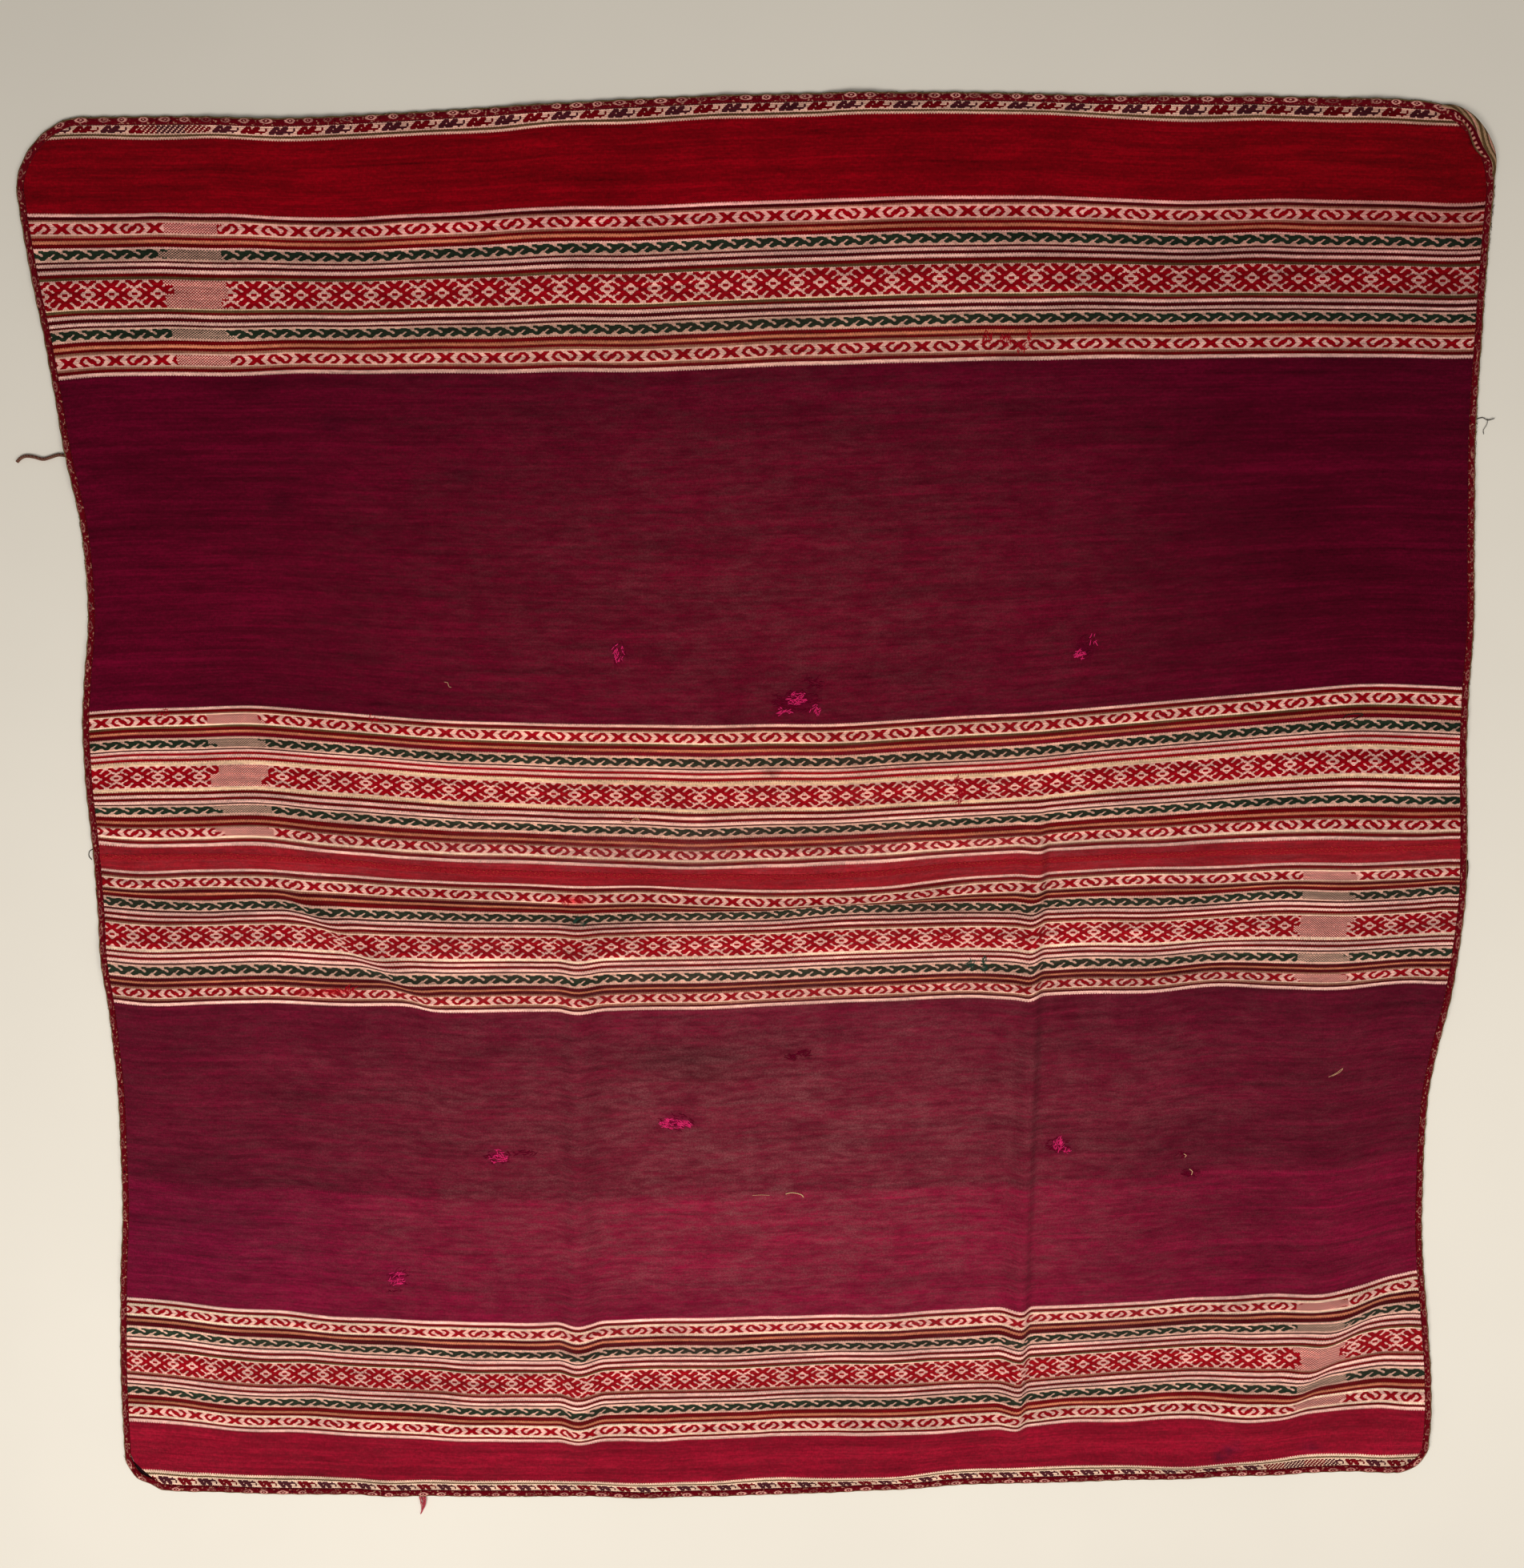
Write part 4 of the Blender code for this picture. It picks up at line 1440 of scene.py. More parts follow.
@dataclass(frozen=True)
class RolledEdge(Wool):
    """The underside of the cloth where a corner has rolled over: slanting stripes, then the eyes."""

    name: str = "rolled_edge_wool"
    stripe: float = 0.0019
    slant: float = 0.16
    eye_spacing: float = 0.0042
    yarn_width: float = 0.0008
    pick: float = 0.0018
    unevenness: float = 0.7
    scatter: float = 0.5
    lip_scatter: float = 0.08
    brown_turn: Range = (0.35, 0.55)
    pink_turn: Range = (0.80, 0.92)
    red_lip: Range = (0.40, 0.36)
    eye_step: Range = (0.20, 0.32)
    eye_lip: Range = (0.20, 0.15)
    pale_lip: Range = (0.05, 0.03)
    rim_lip: Range = (0.93, 0.97)
    tan: Colour = (176, 138, 104)
    brown: Colour = (96, 72, 44)
    pink: Colour = (216, 150, 132)
    red: Colour = (92, 2, 16)
    eye: Colour = (214, 142, 124)
    lip: Colour = (120, 88, 60)
    rim: Colour = (58, 44, 26)

    def look(self, graph: Graph) -> tuple[Value, Value]:
        """Lay slanting stripes on the roll, and the band with its eyes along its inner edge.

        Args:
            graph: The material's tree.

        Returns:
            Its colour and its height.
        """
        run, share, across = graph.split(graph.attribute("fold"))
        jitter = graph.noise(graph.point(run * 700.0, across * 900.0), 1.0) - 0.5
        band = (across + run * self.slant) / self.stripe + jitter * self.scatter
        turn = graph.math("PINGPONG", band, 1.0)
        second = graph.math("PINGPONG", band / 2.0 + 0.25, 1.0)
        lip = share + jitter * self.lip_scatter
        step = graph.math("PINGPONG", run / self.eye_spacing, 0.5)
        colour = graph.blend(graph.between(turn, *self.brown_turn), paint(self.tan), paint(self.brown))
        for mask, yarn in (
            (graph.between(second, *self.pink_turn), self.pink),
            (graph.between(lip, *self.red_lip), self.red),
            (graph.between(step, *self.eye_step) * graph.between(lip, *self.eye_lip), self.eye),
            (graph.between(lip, *self.pale_lip), self.lip),
            (graph.between(lip, *self.rim_lip), self.rim),
        ):
            colour = graph.blend(mask, colour, paint(yarn))
        size = {"Yarn_Width": self.yarn_width, "Pick": self.pick}
        relief = WarpRelief().place(graph, Along=run, Across=across, **size)
        light = Abrash().place(graph, Along=run, Across=across, Strength=self.unevenness)["Light"]
        return graph.shaded(colour, relief["Shade"] * light), relief["Height"]


@dataclass(frozen=True)
class SpunYarn(Wool):
    """A plain dyed yarn, with its twist and a little unevenness."""

    colour: Colour
    second: Colour
    twist: float = 0.0016
    unevenness: float = 0.4
    steepness: float = 1.7
    fuzz: float = 0.5
    second_turn: Range = (0.35, 0.75)
    STRENGTH = 0.7
    RELIEF = 0.0003

    def look(self, graph: Graph) -> tuple[Value, Value]:
        """Twist the two colours round each other.

        Args:
            graph: The material's tree.

        Returns:
            Its colour and its height.
        """
        spot = graph.out(graph.node("ShaderNodeTexCoord"), "Object")
        x, y, z = graph.split(spot)
        ply = graph.math("PINGPONG", (x + y + z * self.steepness) / self.twist, 0.5)
        share = graph.between(ply + graph.noise(spot, 1400.0, 3.0, 0.7) * self.fuzz, *self.second_turn)
        colour = graph.blend(share, paint(self.colour), paint(self.second))
        light = Abrash().place(graph, Along=x, Across=y, Strength=self.unevenness)["Light"]
        return graph.shaded(colour, light), ply


@dataclass(frozen=True)
class PaleFloor:
    """A plain pale floor."""

    name: str = "pale_floor"
    colour: Colour = (236, 229, 216)
    roughness: float = 0.85
    specular: float = 0.2
    cloud_scale: float = 2.2

    def material(self) -> bpy.types.Material:
        """Make the finished material.

        Returns:
            The material.
        """
        material, graph, shader = new_material(self.name)
        spot = graph.out(graph.node("ShaderNodeTexCoord"), "Object")
        cloud = graph.between(graph.noise(spot, self.cloud_scale, 4.0, 0.6), 0.3, 0.7, 0.965, 1.0)
        graph.feed(shader.inputs["Base Color"], graph.shaded(paint(self.colour), cloud))
        shader.inputs["Roughness"].default_value = self.roughness
        shader.inputs["Specular IOR Level"].default_value = self.specular
        return material


def to_frame(x: Array, y: Array, z: Array) -> Array:
    """Points of the cloth's tables, in millimetres, as points of the row frame."""
    return np.stack([(x + ORIGIN[0]) * MM, (y + ORIGIN[1]) * MM, z * MM], -1)


def add_mesh(name: str, points: Array, faces: list, material: bpy.types.Material) -> bpy.types.Object:
    """Make a mesh object.

    Args:
        name: The piece's name.
        points: Its vertices in the row frame.
        faces: Vertex numbers of each face.
        material: Its material.

    Returns:
        The object, in the scene.
    """
    mesh = bpy.data.meshes.new(name)
    mesh.from_pydata(points.tolist(), [], faces)
    mesh.materials.append(material)
    mesh.shade_smooth()
    mesh.update()
    obj = bpy.data.objects.new(name, mesh)
    bpy.context.scene.collection.objects.link(obj)
    LOG.info("%s: %d faces", name, len(faces))
    return obj


def settle(obj: bpy.types.Object, node: str | None = None) -> bpy.types.Object:
    """Attach a piece to the frame's root body, and hide the solid it replaces.

    Args:
        obj: The piece.
        node: The solid it replaces, if there is one.

    Returns:
        The piece.
    """
    if node:
        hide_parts(node)
    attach(obj, "root")
    return obj


def set_corner_map(mesh: bpy.types.Mesh, name: str, values: Array) -> None:
    """Give a mesh a named map with two numbers at each face corner."""
    layer = mesh.uv_layers.new(name=name)
    layer.data.foreach_set("uv", np.ascontiguousarray(values, np.float32).ravel())


def set_attribute(mesh: bpy.types.Mesh, name: str, kind: str, domain: str, values: Array) -> None:
    """Give a mesh an attribute.

    Args:
        mesh: The mesh.
        name: The attribute's name.
        kind: FLOAT, FLOAT_VECTOR or FLOAT_COLOR.
        domain: POINT or FACE.
        values: A row for each element.
    """
    layer = mesh.attributes.new(name, kind, domain)
    field = {"FLOAT": "value", "FLOAT_VECTOR": "vector", "FLOAT_COLOR": "color"}[kind]
    layer.data.foreach_set(field, np.ascontiguousarray(values, np.float32).ravel())


def mixed(first: Line, second: Line, share: Array | float) -> Line:
    """A line a share of the way from one line to another."""
    return lambda x: first(x) * (1 - share) + second(x) * share


# Mesh columns of the panels, finer where more shows.
COLUMNS = Table(
    ("until", "step"),
    (
        (-500, 5.0),
        (-415, 6.8),
        (-230, 6.0),
        (-190, 6.4),
        (-124, 3.6),
        (0, 7.6),
        (184, 6.0),
        (226, 2.6),
        (400, 7.2),
        (510, 5.2),
        (NOMINAL_HALF, 4.4),
    ),
)


def column_shares() -> Array:
    """Divide the panels' width into mesh columns.

    Returns:
        The columns' places as shares of the width.
    """
    found = [-NOMINAL_HALF]
    for until, step in COLUMNS.rows:
        count = max(round((until - found[-1]) / step), 1)
        found += list(np.linspace(found[-1], until, count + 1)[1:])
    return (np.array(found) + NOMINAL_HALF) / (2 * NOMINAL_HALF)


@dataclass(frozen=True)
class Row:
    """One mesh row of a panel: its share of the way between two warp lines, and its stripe."""

    section: int
    start: float
    stripe: Stripe
    cells: tuple[Cell, Cell]
    number: int
    before: Yarn
    after: Yarn


@dataclass
class WovenPanel:
    """One woven length of the cloth, from warp line to warp line."""

    panel: str
    layout: list[list[Stripe]]
    warps: Table
    wear_and_glint: float
    rests_on: str = "floor"
    end_keep: float = 0.04
    sharp_angle: float = 55.0
    zigzag_height: float = 6.5
    zigzag_step: float = 8.5
    patch_falloff: float = 1.4

    def rows(self) -> list[Row]:
        """List the panel's mesh rows.

        Returns:
            The rows in order down the cloth.
        """
        found: list[Row] = []
        flat = [stripe for section in self.layout for stripe in section]
        index = 0
        for section_number, section in enumerate(self.layout):
            total = sum(stripe.width for stripe in section)
            place = 0.0
            for stripe in section:
                neighbours = flat[max(index - 1, 0)], flat[min(index + 1, len(flat) - 1)]
                codes = stripe.codes()
                for k, cells in enumerate(codes):
                    start = (place + stripe.width * k / len(codes)) / total
                    at_edge = k == 0, k == len(codes) - 1
                    bites = (self.bite(stripe, other, near) for other, near in zip(neighbours, at_edge))
                    found.append(Row(section_number, start, stripe, cells, k, *bites))
                place += stripe.width
                index += 1
        return found

    @staticmethod
    def bite(stripe: Stripe, other: Stripe, at_edge: bool) -> Yarn:
        """Find the yarn whose teeth show at a stripe's edge.

        Args:
            stripe: The stripe.
            other: The stripe beside it.
            at_edge: Whether the mesh row is the one at that edge.

        Returns:
            The yarn, which is the stripe's own where no teeth show.
        """
        if stripe.chart is not None or not at_edge:
            return stripe.yarn
        return other.yarn if other.chart is None else other.ground

    def lines(self) -> list[Line]:
        """List the panel's warp lines.

        Returns:
            The lines in order down the cloth, with its two edges.
        """
        middle = [self.warps.line(name) for name in self.warps.columns[1:]]
        edge, seam = partial(LAY.edge_line, self.panel), partial(LAY.seam_line, self.panel)
        return [edge, *middle, seam] if self.panel == "upper" else [seam, *middle, edge]

    def points(self, rows: list[Row], shares: Array) -> tuple[Array, Array, Array]:
        """Where the mesh's rows and columns cross.

        Args:
            rows: The mesh rows.
            shares: The mesh columns.

        Returns:
            Their x and y and, for each row, its place in the layout.
        """
        lines = self.lines()
        widths = [sum(stripe.width for stripe in section) for section in self.layout]
        starts = np.concatenate([[0.0], np.cumsum(widths)])
        marks = [(row.section, row.start) for row in rows] + [(rows[-1].section, 1.0)]
        places = [LAY.place(self.panel, shares, mixed(lines[k], lines[k + 1], share)) for k, share in marks]
        x, y = (np.array(values) for values in zip(*places))
        layout = np.array([starts[k] + share * widths[k] for k, share in marks])
        inside = np.linspace(0, 1, len(marks))[:, None]
        keep = soft_step(np.minimum(inside, 1 - inside), self.end_keep)
        return x, y + LAY.step(x, y) * keep, layout

    def build(self, material: bpy.types.Material) -> bpy.types.Object:
        """Weave the panel.

        Args:
            material: The woven finish.

        Returns:
            The panel, riding on the frame in place of its solid.
        """
        rows, shares = self.rows(), column_shares()
        x, y, layout = self.points(rows, shares)
        under = LAY.lift(x, y)
        points = np.concatenate([to_frame(x, y, z).reshape(-1, 3) for z in (under + CLOTH_THICK, under)])
        numbers = np.arange(x.size).reshape(x.shape)
        top = np.stack([numbers[:-1, :-1], numbers[1:, :-1], numbers[1:, 1:], numbers[:-1, 1:]], -1)
        top = top.reshape(-1, 4)
        every = np.arange(len(rows))
        top_rows = np.repeat(every, len(shares) - 1)
        faces, face_rows = [top, top[:, ::-1] + x.size], [top_rows, top_rows]
        for rim, rim_rows, forward in (
            (numbers[0], every[:1], False),
            (numbers[-1], every[-1:], True),
            (numbers[:, 0], every, True),
            (numbers[:, -1], every, False),
        ):
            a, b = (rim[:-1], rim[1:]) if forward else (rim[1:], rim[:-1])
            faces.append(np.stack([b, a, a + x.size, b + x.size], -1))
            face_rows.append(np.broadcast_to(rim_rows, len(rim) - 1))
        all_faces = np.concatenate(faces)
        obj = add_mesh(f"panel_{self.panel}_weave", points, all_faces.tolist(), material)
        self.mark(obj.data, all_faces, np.concatenate(face_rows), rows, (x, y, layout))
        obj.data.set_sharp_from_angle(angle=math.radians(self.sharp_angle))
        settle(obj, f"panel_{self.panel}")
        self.declare(obj, x, y)
        return obj

    def mark(
        self,
        mesh: bpy.types.Mesh,
        faces: Array,
        face_rows: Array,
        rows: list[Row],
        points: tuple[Array, Array, Array],
    ) -> None:
        """Write each face's stripe and each corner's place in the weave on the mesh.

        Args:
            mesh: The panel's mesh.
            faces: Its faces.
            face_rows: The mesh row of each face.
            rows: The mesh rows.
            points: The mesh points' x and y, and each row's place in the layout.
        """
        x, y, layout = points
        corner = faces % x.size
        corner_x, corner_row = x.ravel()[corner], corner // x.shape[1]
        stripes = [row.stripe for row in rows]
        table = np.array([(stripe.pitch, stripe.phase, stripe.drift) for stripe in stripes])
        pitch, phase, drift = table[face_rows].T[..., None]
        run = corner_x - phase - drift * (corner_x / DRIFT_REACH) ** 2
        in_stripe = (corner_row - face_rows[:, None]).astype(float)
        set_corner_map(mesh, "weave", np.stack([corner_x * MM, layout[corner_row] * MM], -1))
        set_corner_map(mesh, "pattern", np.stack([run / pitch, in_stripe], -1))
        grounds = [stripe.ground if stripe.chart else stripe.yarn for stripe in stripes]
        for name, values in {
            "yarns": [(row.stripe.yarn, row.before, row.after) for row in rows],
            "kind": [(ground, row.number, row.stripe.repeat()) for ground, row in zip(grounds, rows)],
            "chart": [row.cells[0] for row in rows],
            "next_chart": [row.cells[1] for row in rows],
        }.items():
            set_attribute(mesh, name, "FLOAT_VECTOR", "FACE", np.array(values, float)[face_rows])
        charted = np.array([stripe.chart is not None for stripe in stripes])[face_rows]
        dots = self.dots(corner_x.mean(1), y.ravel()[corner].mean(1)) * charted
        set_attribute(mesh, "dots", "FLOAT", "FACE", dots)
        tint = self.tint(x.ravel(), y.ravel())
        set_attribute(mesh, "tint", "FLOAT_COLOR", "POINT", np.concatenate([tint, tint]))

    def dots(self, x: Array, y: Array) -> Array:
        """Find the faces in the zones of dots.

        Args:
            x: The faces' places along the cloth.
            y: Their places up it.

        Returns:
            1 for a face in a zone and 0 for the rest.
        """
        found = np.zeros_like(x)
        zigzag = self.zigzag_height * (np.abs((y / self.zigzag_step) % 2.0 - 1.0) - 0.5)
        for zone in ZONES:
            shift = zone.slant * (y - zone.top) + zigzag
            inside = (y < zone.top) & (y > zone.foot) & (x > zone.start + shift) & (x < zone.finish + shift)
            found[inside] = 1.0
        return found

    def tint(self, x: Array, y: Array) -> Array:
        """Add up the soft patches.

        Args:
            x: The points' places along the cloth.
            y: Their places up it.

        Returns:
            What each point's red, green and blue are multiplied by, partly stains and fading and partly
            painted light and shade, and how strongly its pale specks of rubbing and painted glint show.
        """
        total = np.ones((len(x), 4))
        total[:, 3] = self.wear_and_glint
        for patch in PATCHES:
            reach = ((x - patch.x) / patch.reach_x) ** 2 + ((y - patch.y) / patch.reach_y) ** 2
            share = np.exp(-self.patch_falloff * reach)
            total[:, :3] *= 1 + share[:, None] * (np.array([patch.red, patch.green, patch.blue]) - 1)
            total[:, 3] += share * patch.wear_and_glint
        return np.maximum(total, 0.0)

    def declare(self, obj: bpy.types.Object, x: Array, y: Array) -> None:
        """Say what size of sheet the panel is, from its own outline laid flat.

        Args:
            obj: The panel.
            x: Its points' places along the cloth.
            y: Their places up it.
        """
        width = float((x.max(1) - x.min(1)).max()) * MM
        depth = float((y.max(0) - y.min(0)).max()) * MM
        falling_x, falling_y = (values[1:, 1:] - values[:-1, :-1] for values in (x, y))
        rising_x, rising_y = (values[1:, :-1] - values[:-1, 1:] for values in (x, y))
        area = abs(float((0.5 * falling_x * rising_y - 0.5 * rising_x * falling_y).sum())) * MM * MM
        LOG.info("%s: %.3f by %.3f m, area %.3f square metres", obj.name, width, depth, area)


END_POINTS = 420
SIDE_POINTS = 260
LEAST_STEP = 1e-6


def outline_loop() -> Array:
    """Follow the panels' outer edge, anticlockwise from the lower right corner.

    Returns:
        Its points, none of them twice.
    """
    shares = np.linspace(0, 1, END_POINTS)
    depth = 0.5 * (1 - np.cos(np.pi * np.linspace(0, 1, SIDE_POINTS)))
    edges = []
    for panel, s, t in (
        ("lower", 1.0, depth[::-1]),
        ("upper", 1.0, depth),
        ("upper", shares[::-1], 1.0),
        ("upper", 0.0, depth[::-1]),
        ("lower", 0.0, depth),
        ("lower", shares, 1.0),
    ):
        s, t = np.broadcast_arrays(s, t)
        line = mixed(partial(LAY.seam_line, panel), partial(LAY.edge_line, panel), t)
        edges.append(np.stack(LAY.place(panel, s, line), -1))
    points = np.concatenate(edges)
    gap = np.hypot(*(points - np.roll(points, 1, 0)).T)
    return points[gap > LEAST_STEP]


@dataclass
class EdgeBinding:
    """The tube woven round the edge, its eyes a little raised and its rim scalloped."""

    sides: int = 12
    spacing: float = 2.6
    eye_spacing: float = 15.0
    scallop: float = 0.25
    top_scallop: float = 0.12
    bite: float = 0.7
    most_extra: float = 0.8
    corner_reach: float = 1.05
    corner_blend: float = 0.5
    least_showing: float = 0.25
    finish: EyeBand = EyeBand()

    def stations(self) -> tuple[Array, Array, Array]:
        """Evenly spaced points round the edge.

        Returns:
            The points, the outward way at each and its distance round the edge.
        """
        loop = outline_loop()
        closed = np.concatenate([loop, loop[:1]])
        runs = distances(closed)
        at = np.linspace(0, runs[-1], round(runs[-1] / self.spacing), endpoint=False)
        points = np.stack([np.interp(at, runs, closed[:, k]) for k in (0, 1)], -1)
        heading = np.roll(points, -2, 0) - np.roll(points, 2, 0)
        heading /= np.hypot(*heading.T)[:, None]
        return points, np.stack([heading[:, 1], -heading[:, 0]], -1), at

    def corner_values(self, points: Array) -> tuple[Array, Array, Array]:
        """Change the binding at the corners.

        Args:
            points: Points round the edge.

        Returns:
            The binding's width, its height and its slack at each.
        """
        width = np.full(len(points), BINDING_WIDTH + self.bite)
        height = np.full(len(points), BINDING_HEIGHT)
        slack = np.full(len(points), GAP - self.bite)
        for (side, panel), corner in CORNERS.items():
            off_x = np.abs(LAY.side[side](points[:, 1]) - points[:, 0]) / corner.reach_x
            off_y = np.abs(LAY.edge_line(panel, points[:, 0]) - points[:, 1]) / corner.reach_y
            share = soft_step(self.corner_reach - np.maximum(off_x, off_y), self.corner_blend)
            width += share * min(corner.width - BINDING_WIDTH, self.most_extra)
            height += share * min(corner.height - BINDING_HEIGHT, self.most_extra)
            slack += share * (corner.slack - GAP)
        return width, height, slack

    def build(self) -> bpy.types.Object:
        """Weave the binding.

        Returns:
            The ring, riding on the frame in place of its solid.
        """
        points, outward, at = self.stations()
        width, height, slack = (values[:, None] for values in self.corner_values(points))
        swell = self.scallop * np.cos(math.tau * at / self.eye_spacing)[:, None]
        shares = np.arange(self.sides) / self.sides
        angles = math.tau * np.arange(self.sides) / self.sides
        out = slack + 0.5 * width * (1 + np.cos(angles))
        out = out + np.clip(np.cos(angles), 0, 1) * swell
        up = 0.5 * height * (1 + np.sin(angles)) + self.top_scallop * swell * np.clip(np.sin(angles), 0, 1)
        x, y = (points[:, k : k + 1] + outward[:, k : k + 1] * out for k in (0, 1))
        z = LAY.lift(points[:, 0], points[:, 1])[:, None] + up
        numbers = np.arange(x.size).reshape(x.shape)
        after, above = np.roll(numbers, -1, 0), np.roll(numbers, -1, 1)
        faces = np.stack([numbers, after, np.roll(after, -1, 1), above], -1).reshape(-1, 4).tolist()
        obj = add_mesh("edge_binding_weave", to_frame(x, y, z).reshape(-1, 3), faces, self.finish.material())
        run = np.broadcast_to(at[:, None] * MM, x.shape)
        turn = np.broadcast_to(shares, x.shape)
        step = float(at[1]) * MM
        corners = np.stack([run, run + step, run + step, run], -1)
        turns = np.stack([turn, turn, turn + 1 / self.sides, turn + 1 / self.sides], -1)
        set_corner_map(obj.data, "weave", np.stack([corners, turns], -1).reshape(-1, 2))
        level = soft_step(np.abs(outward[:, 1]) - 0.2, 0.5)
        showing = self.least_showing + (1 - self.least_showing) * level
        set_attribute(obj.data, "showing", "FLOAT", "POINT", np.repeat(showing, self.sides))
        return settle(obj, "edge_binding")


def around(numbers: Array) -> Array:
    """Quads between rings of vertices that are numbered in rows."""
    turned = np.roll(numbers, -1, 1)
    return np.stack([numbers[:-1], numbers[1:], turned[1:], turned[:-1]], -1).reshape(-1, 4)


def closed_tube(numbers: Array, flipped: bool = False) -> list[list[int]]:
    """Faces of a tube that closes to a pole at each end.

    Args:
        numbers: Vertex numbers, a row for each ring; the two poles come after them.
        flipped: Whether the rings run the other way round.

    Returns:
        Its faces.
    """
    turned = np.roll(numbers, -1, 1)
    faces = around(numbers).tolist()
    faces += [[numbers.size, a, b] for a, b in zip(numbers[0].tolist(), turned[0].tolist())]
    faces += [[numbers.size + 1, b, a] for a, b in zip(numbers[-1].tolist(), turned[-1].tolist())]
    return [[face[0], *face[:0:-1]] for face in faces] if flipped else faces


def tube(points: Array, radius: Array | float, sides: int = 6) -> Tube:
    """A closed round tube through points in the row frame.

    Args:
        points: The line's points.
        radius: Its radius, or one for each point.
        sides: Faces round it.

    Returns:
        Vertices and faces, with a pole at each end.
    """
    ahead = np.gradient(points, axis=0)
    ahead /= np.linalg.norm(ahead, axis=1)[:, None]
    sideways = np.cross(ahead, [0.0, 0.0, 1.0])
    sideways /= np.maximum(np.linalg.norm(sideways, axis=1)[:, None], 1e-9)
    upward = np.cross(sideways, ahead)
    radii = np.broadcast_to(radius, len(points))[:, None, None]
    angles = (math.tau * np.arange(sides) / sides)[None, :, None]
    ring = points[:, None] + radii * (np.cos(angles) * sideways[:, None] + np.sin(angles) * upward[:, None])
    faces = closed_tube(np.arange(len(points) * sides).reshape(len(points), sides))
    return np.concatenate([ring.reshape(-1, 3), points[[0, -1]]]), faces


@dataclass
class Strands:
    """A piece of many thin strands of one wool, in place of a solid where it has a node."""

    name: str
    slot: str
    colour: Colour
    second: Colour
    node: str | None = field(default=None, kw_only=True)

    def finish(self) -> SpunYarn:
        """The strands' wool, named after the piece."""
        return SpunYarn(self.name + "_wool", self.colour, self.second)

    def tubes(self) -> list[Tube]:
        """Make the strands.

        Returns:
            Vertices and faces of each.
        """
        raise NotImplementedError

    def build(self) -> bpy.types.Object:
        """Put the strands together.

        Returns:
            All of them as one piece.
        """
        points, faces, base = [], [], 0
        for vertices, own in self.tubes():
            points.append(vertices)
            faces += [[number + base for number in face] for face in own]
            base += len(vertices)
        obj = add_mesh(self.name, np.concatenate(points), faces, self.finish().material())
        return settle(obj, self.node)


@dataclass
class JoinSeam:
    """The seam: yarn worked to and fro between the selvedges."""

    crown: float = 0.35
    bite: float = 0.15
    around: int = 5
    finer: int = 3
    sharp_angle: float = 50.0
    finish: SpunYarn = SpunYarn("seam_wool", (158, 26, 38), (134, 16, 26))

    def build(self) -> bpy.types.Object:
        """Sew the seam.

        Returns:
            The seam's ridge, riding on the frame in place of its solid.
        """
        shares = column_shares()
        count = len(shares)
        fine = np.interp(np.linspace(0, count - 1, self.finer * count), np.arange(count), shares)
        x_up, y_up = LAY.place("upper", fine, partial(LAY.seam_line, "upper"))
        x_low, y_low = LAY.place("lower", fine, partial(LAY.seam_line, "lower"))
        across = np.linspace(0.0, 1.0, self.around)
        x = x_up[:, None] * (1 - across) + x_low[:, None] * across
        y = (y_up + self.bite)[:, None] * (1 - across) + (y_low - self.bite)[:, None] * across
        under = LAY.lift(x, y)
        crown = SEAM_THICK - self.crown + self.crown * np.sin(np.pi * across)
        ring = np.concatenate([to_frame(x, y, under + crown), to_frame(x, y, under)[:, ::-1]], 1)
        numbers = np.arange(ring[..., 0].size).reshape(ring.shape[:2])
        faces = around(numbers)[:, [0, 3, 2, 1]].tolist()
        faces += [numbers[0][::-1].tolist(), numbers[-1].tolist()]
        ridge = add_mesh("join_seam_yarn", ring.reshape(-1, 3), faces, self.finish.material())
        ridge.data.set_sharp_from_angle(angle=math.radians(self.sharp_angle))
        return settle(ridge, "join_seam")


@dataclass
class Stitches(Strands):
    """Three rows of short stitches along the seam."""

    name: str = "seam_stitches"
    slot: str = "seam_yarn"
    colour: Colour = (196, 62, 52)
    second: Colour = (132, 8, 20)
    seed: int = 5
    step: float = 3.6
    steps: Range = (0.75, 1.35)
    length: float = 2.4
    lengths: Range = (0.7, 1.25)
    scatter: float = 0.5
    slant: float = 1.6
    radius: float = 0.26
    sunk: float = 0.1
    rise: float = 0.22
    end_gap: float = 8.0
    rows: tuple[float, float, float] = (-1.3, 0.4, 1.6)

    def finish(self) -> SpunYarn:
        """The stitches' wool."""
        return SpunYarn("stitch_wool", self.colour, self.second)

    def tubes(self) -> list[Tube]:
        """Set the stitches one after another in each row.

        Returns:
            Vertices and faces of each.
        """
        found = []
        draw = np.random.default_rng(self.seed)
        run = np.linspace(-0.5, 0.5, 4)
        for offset in self.rows:
            place = -NOMINAL_HALF + self.end_gap
            while place < NOMINAL_HALF - self.end_gap:
                x = place + run * (self.length * draw.uniform(*self.lengths))
                y = LAY.end["join"](x) + offset + draw.normal(0, self.scatter)
                y = y + run * draw.uniform(-self.slant, self.slant)
                z = LAY.lift(x, y) + SEAM_THICK - self.sunk + self.rise * np.cos(np.pi * run)
                found.append(tube(to_frame(x, y, z), self.radius * MM, 5))
                place += self.step * draw.uniform(*self.steps)
        return found


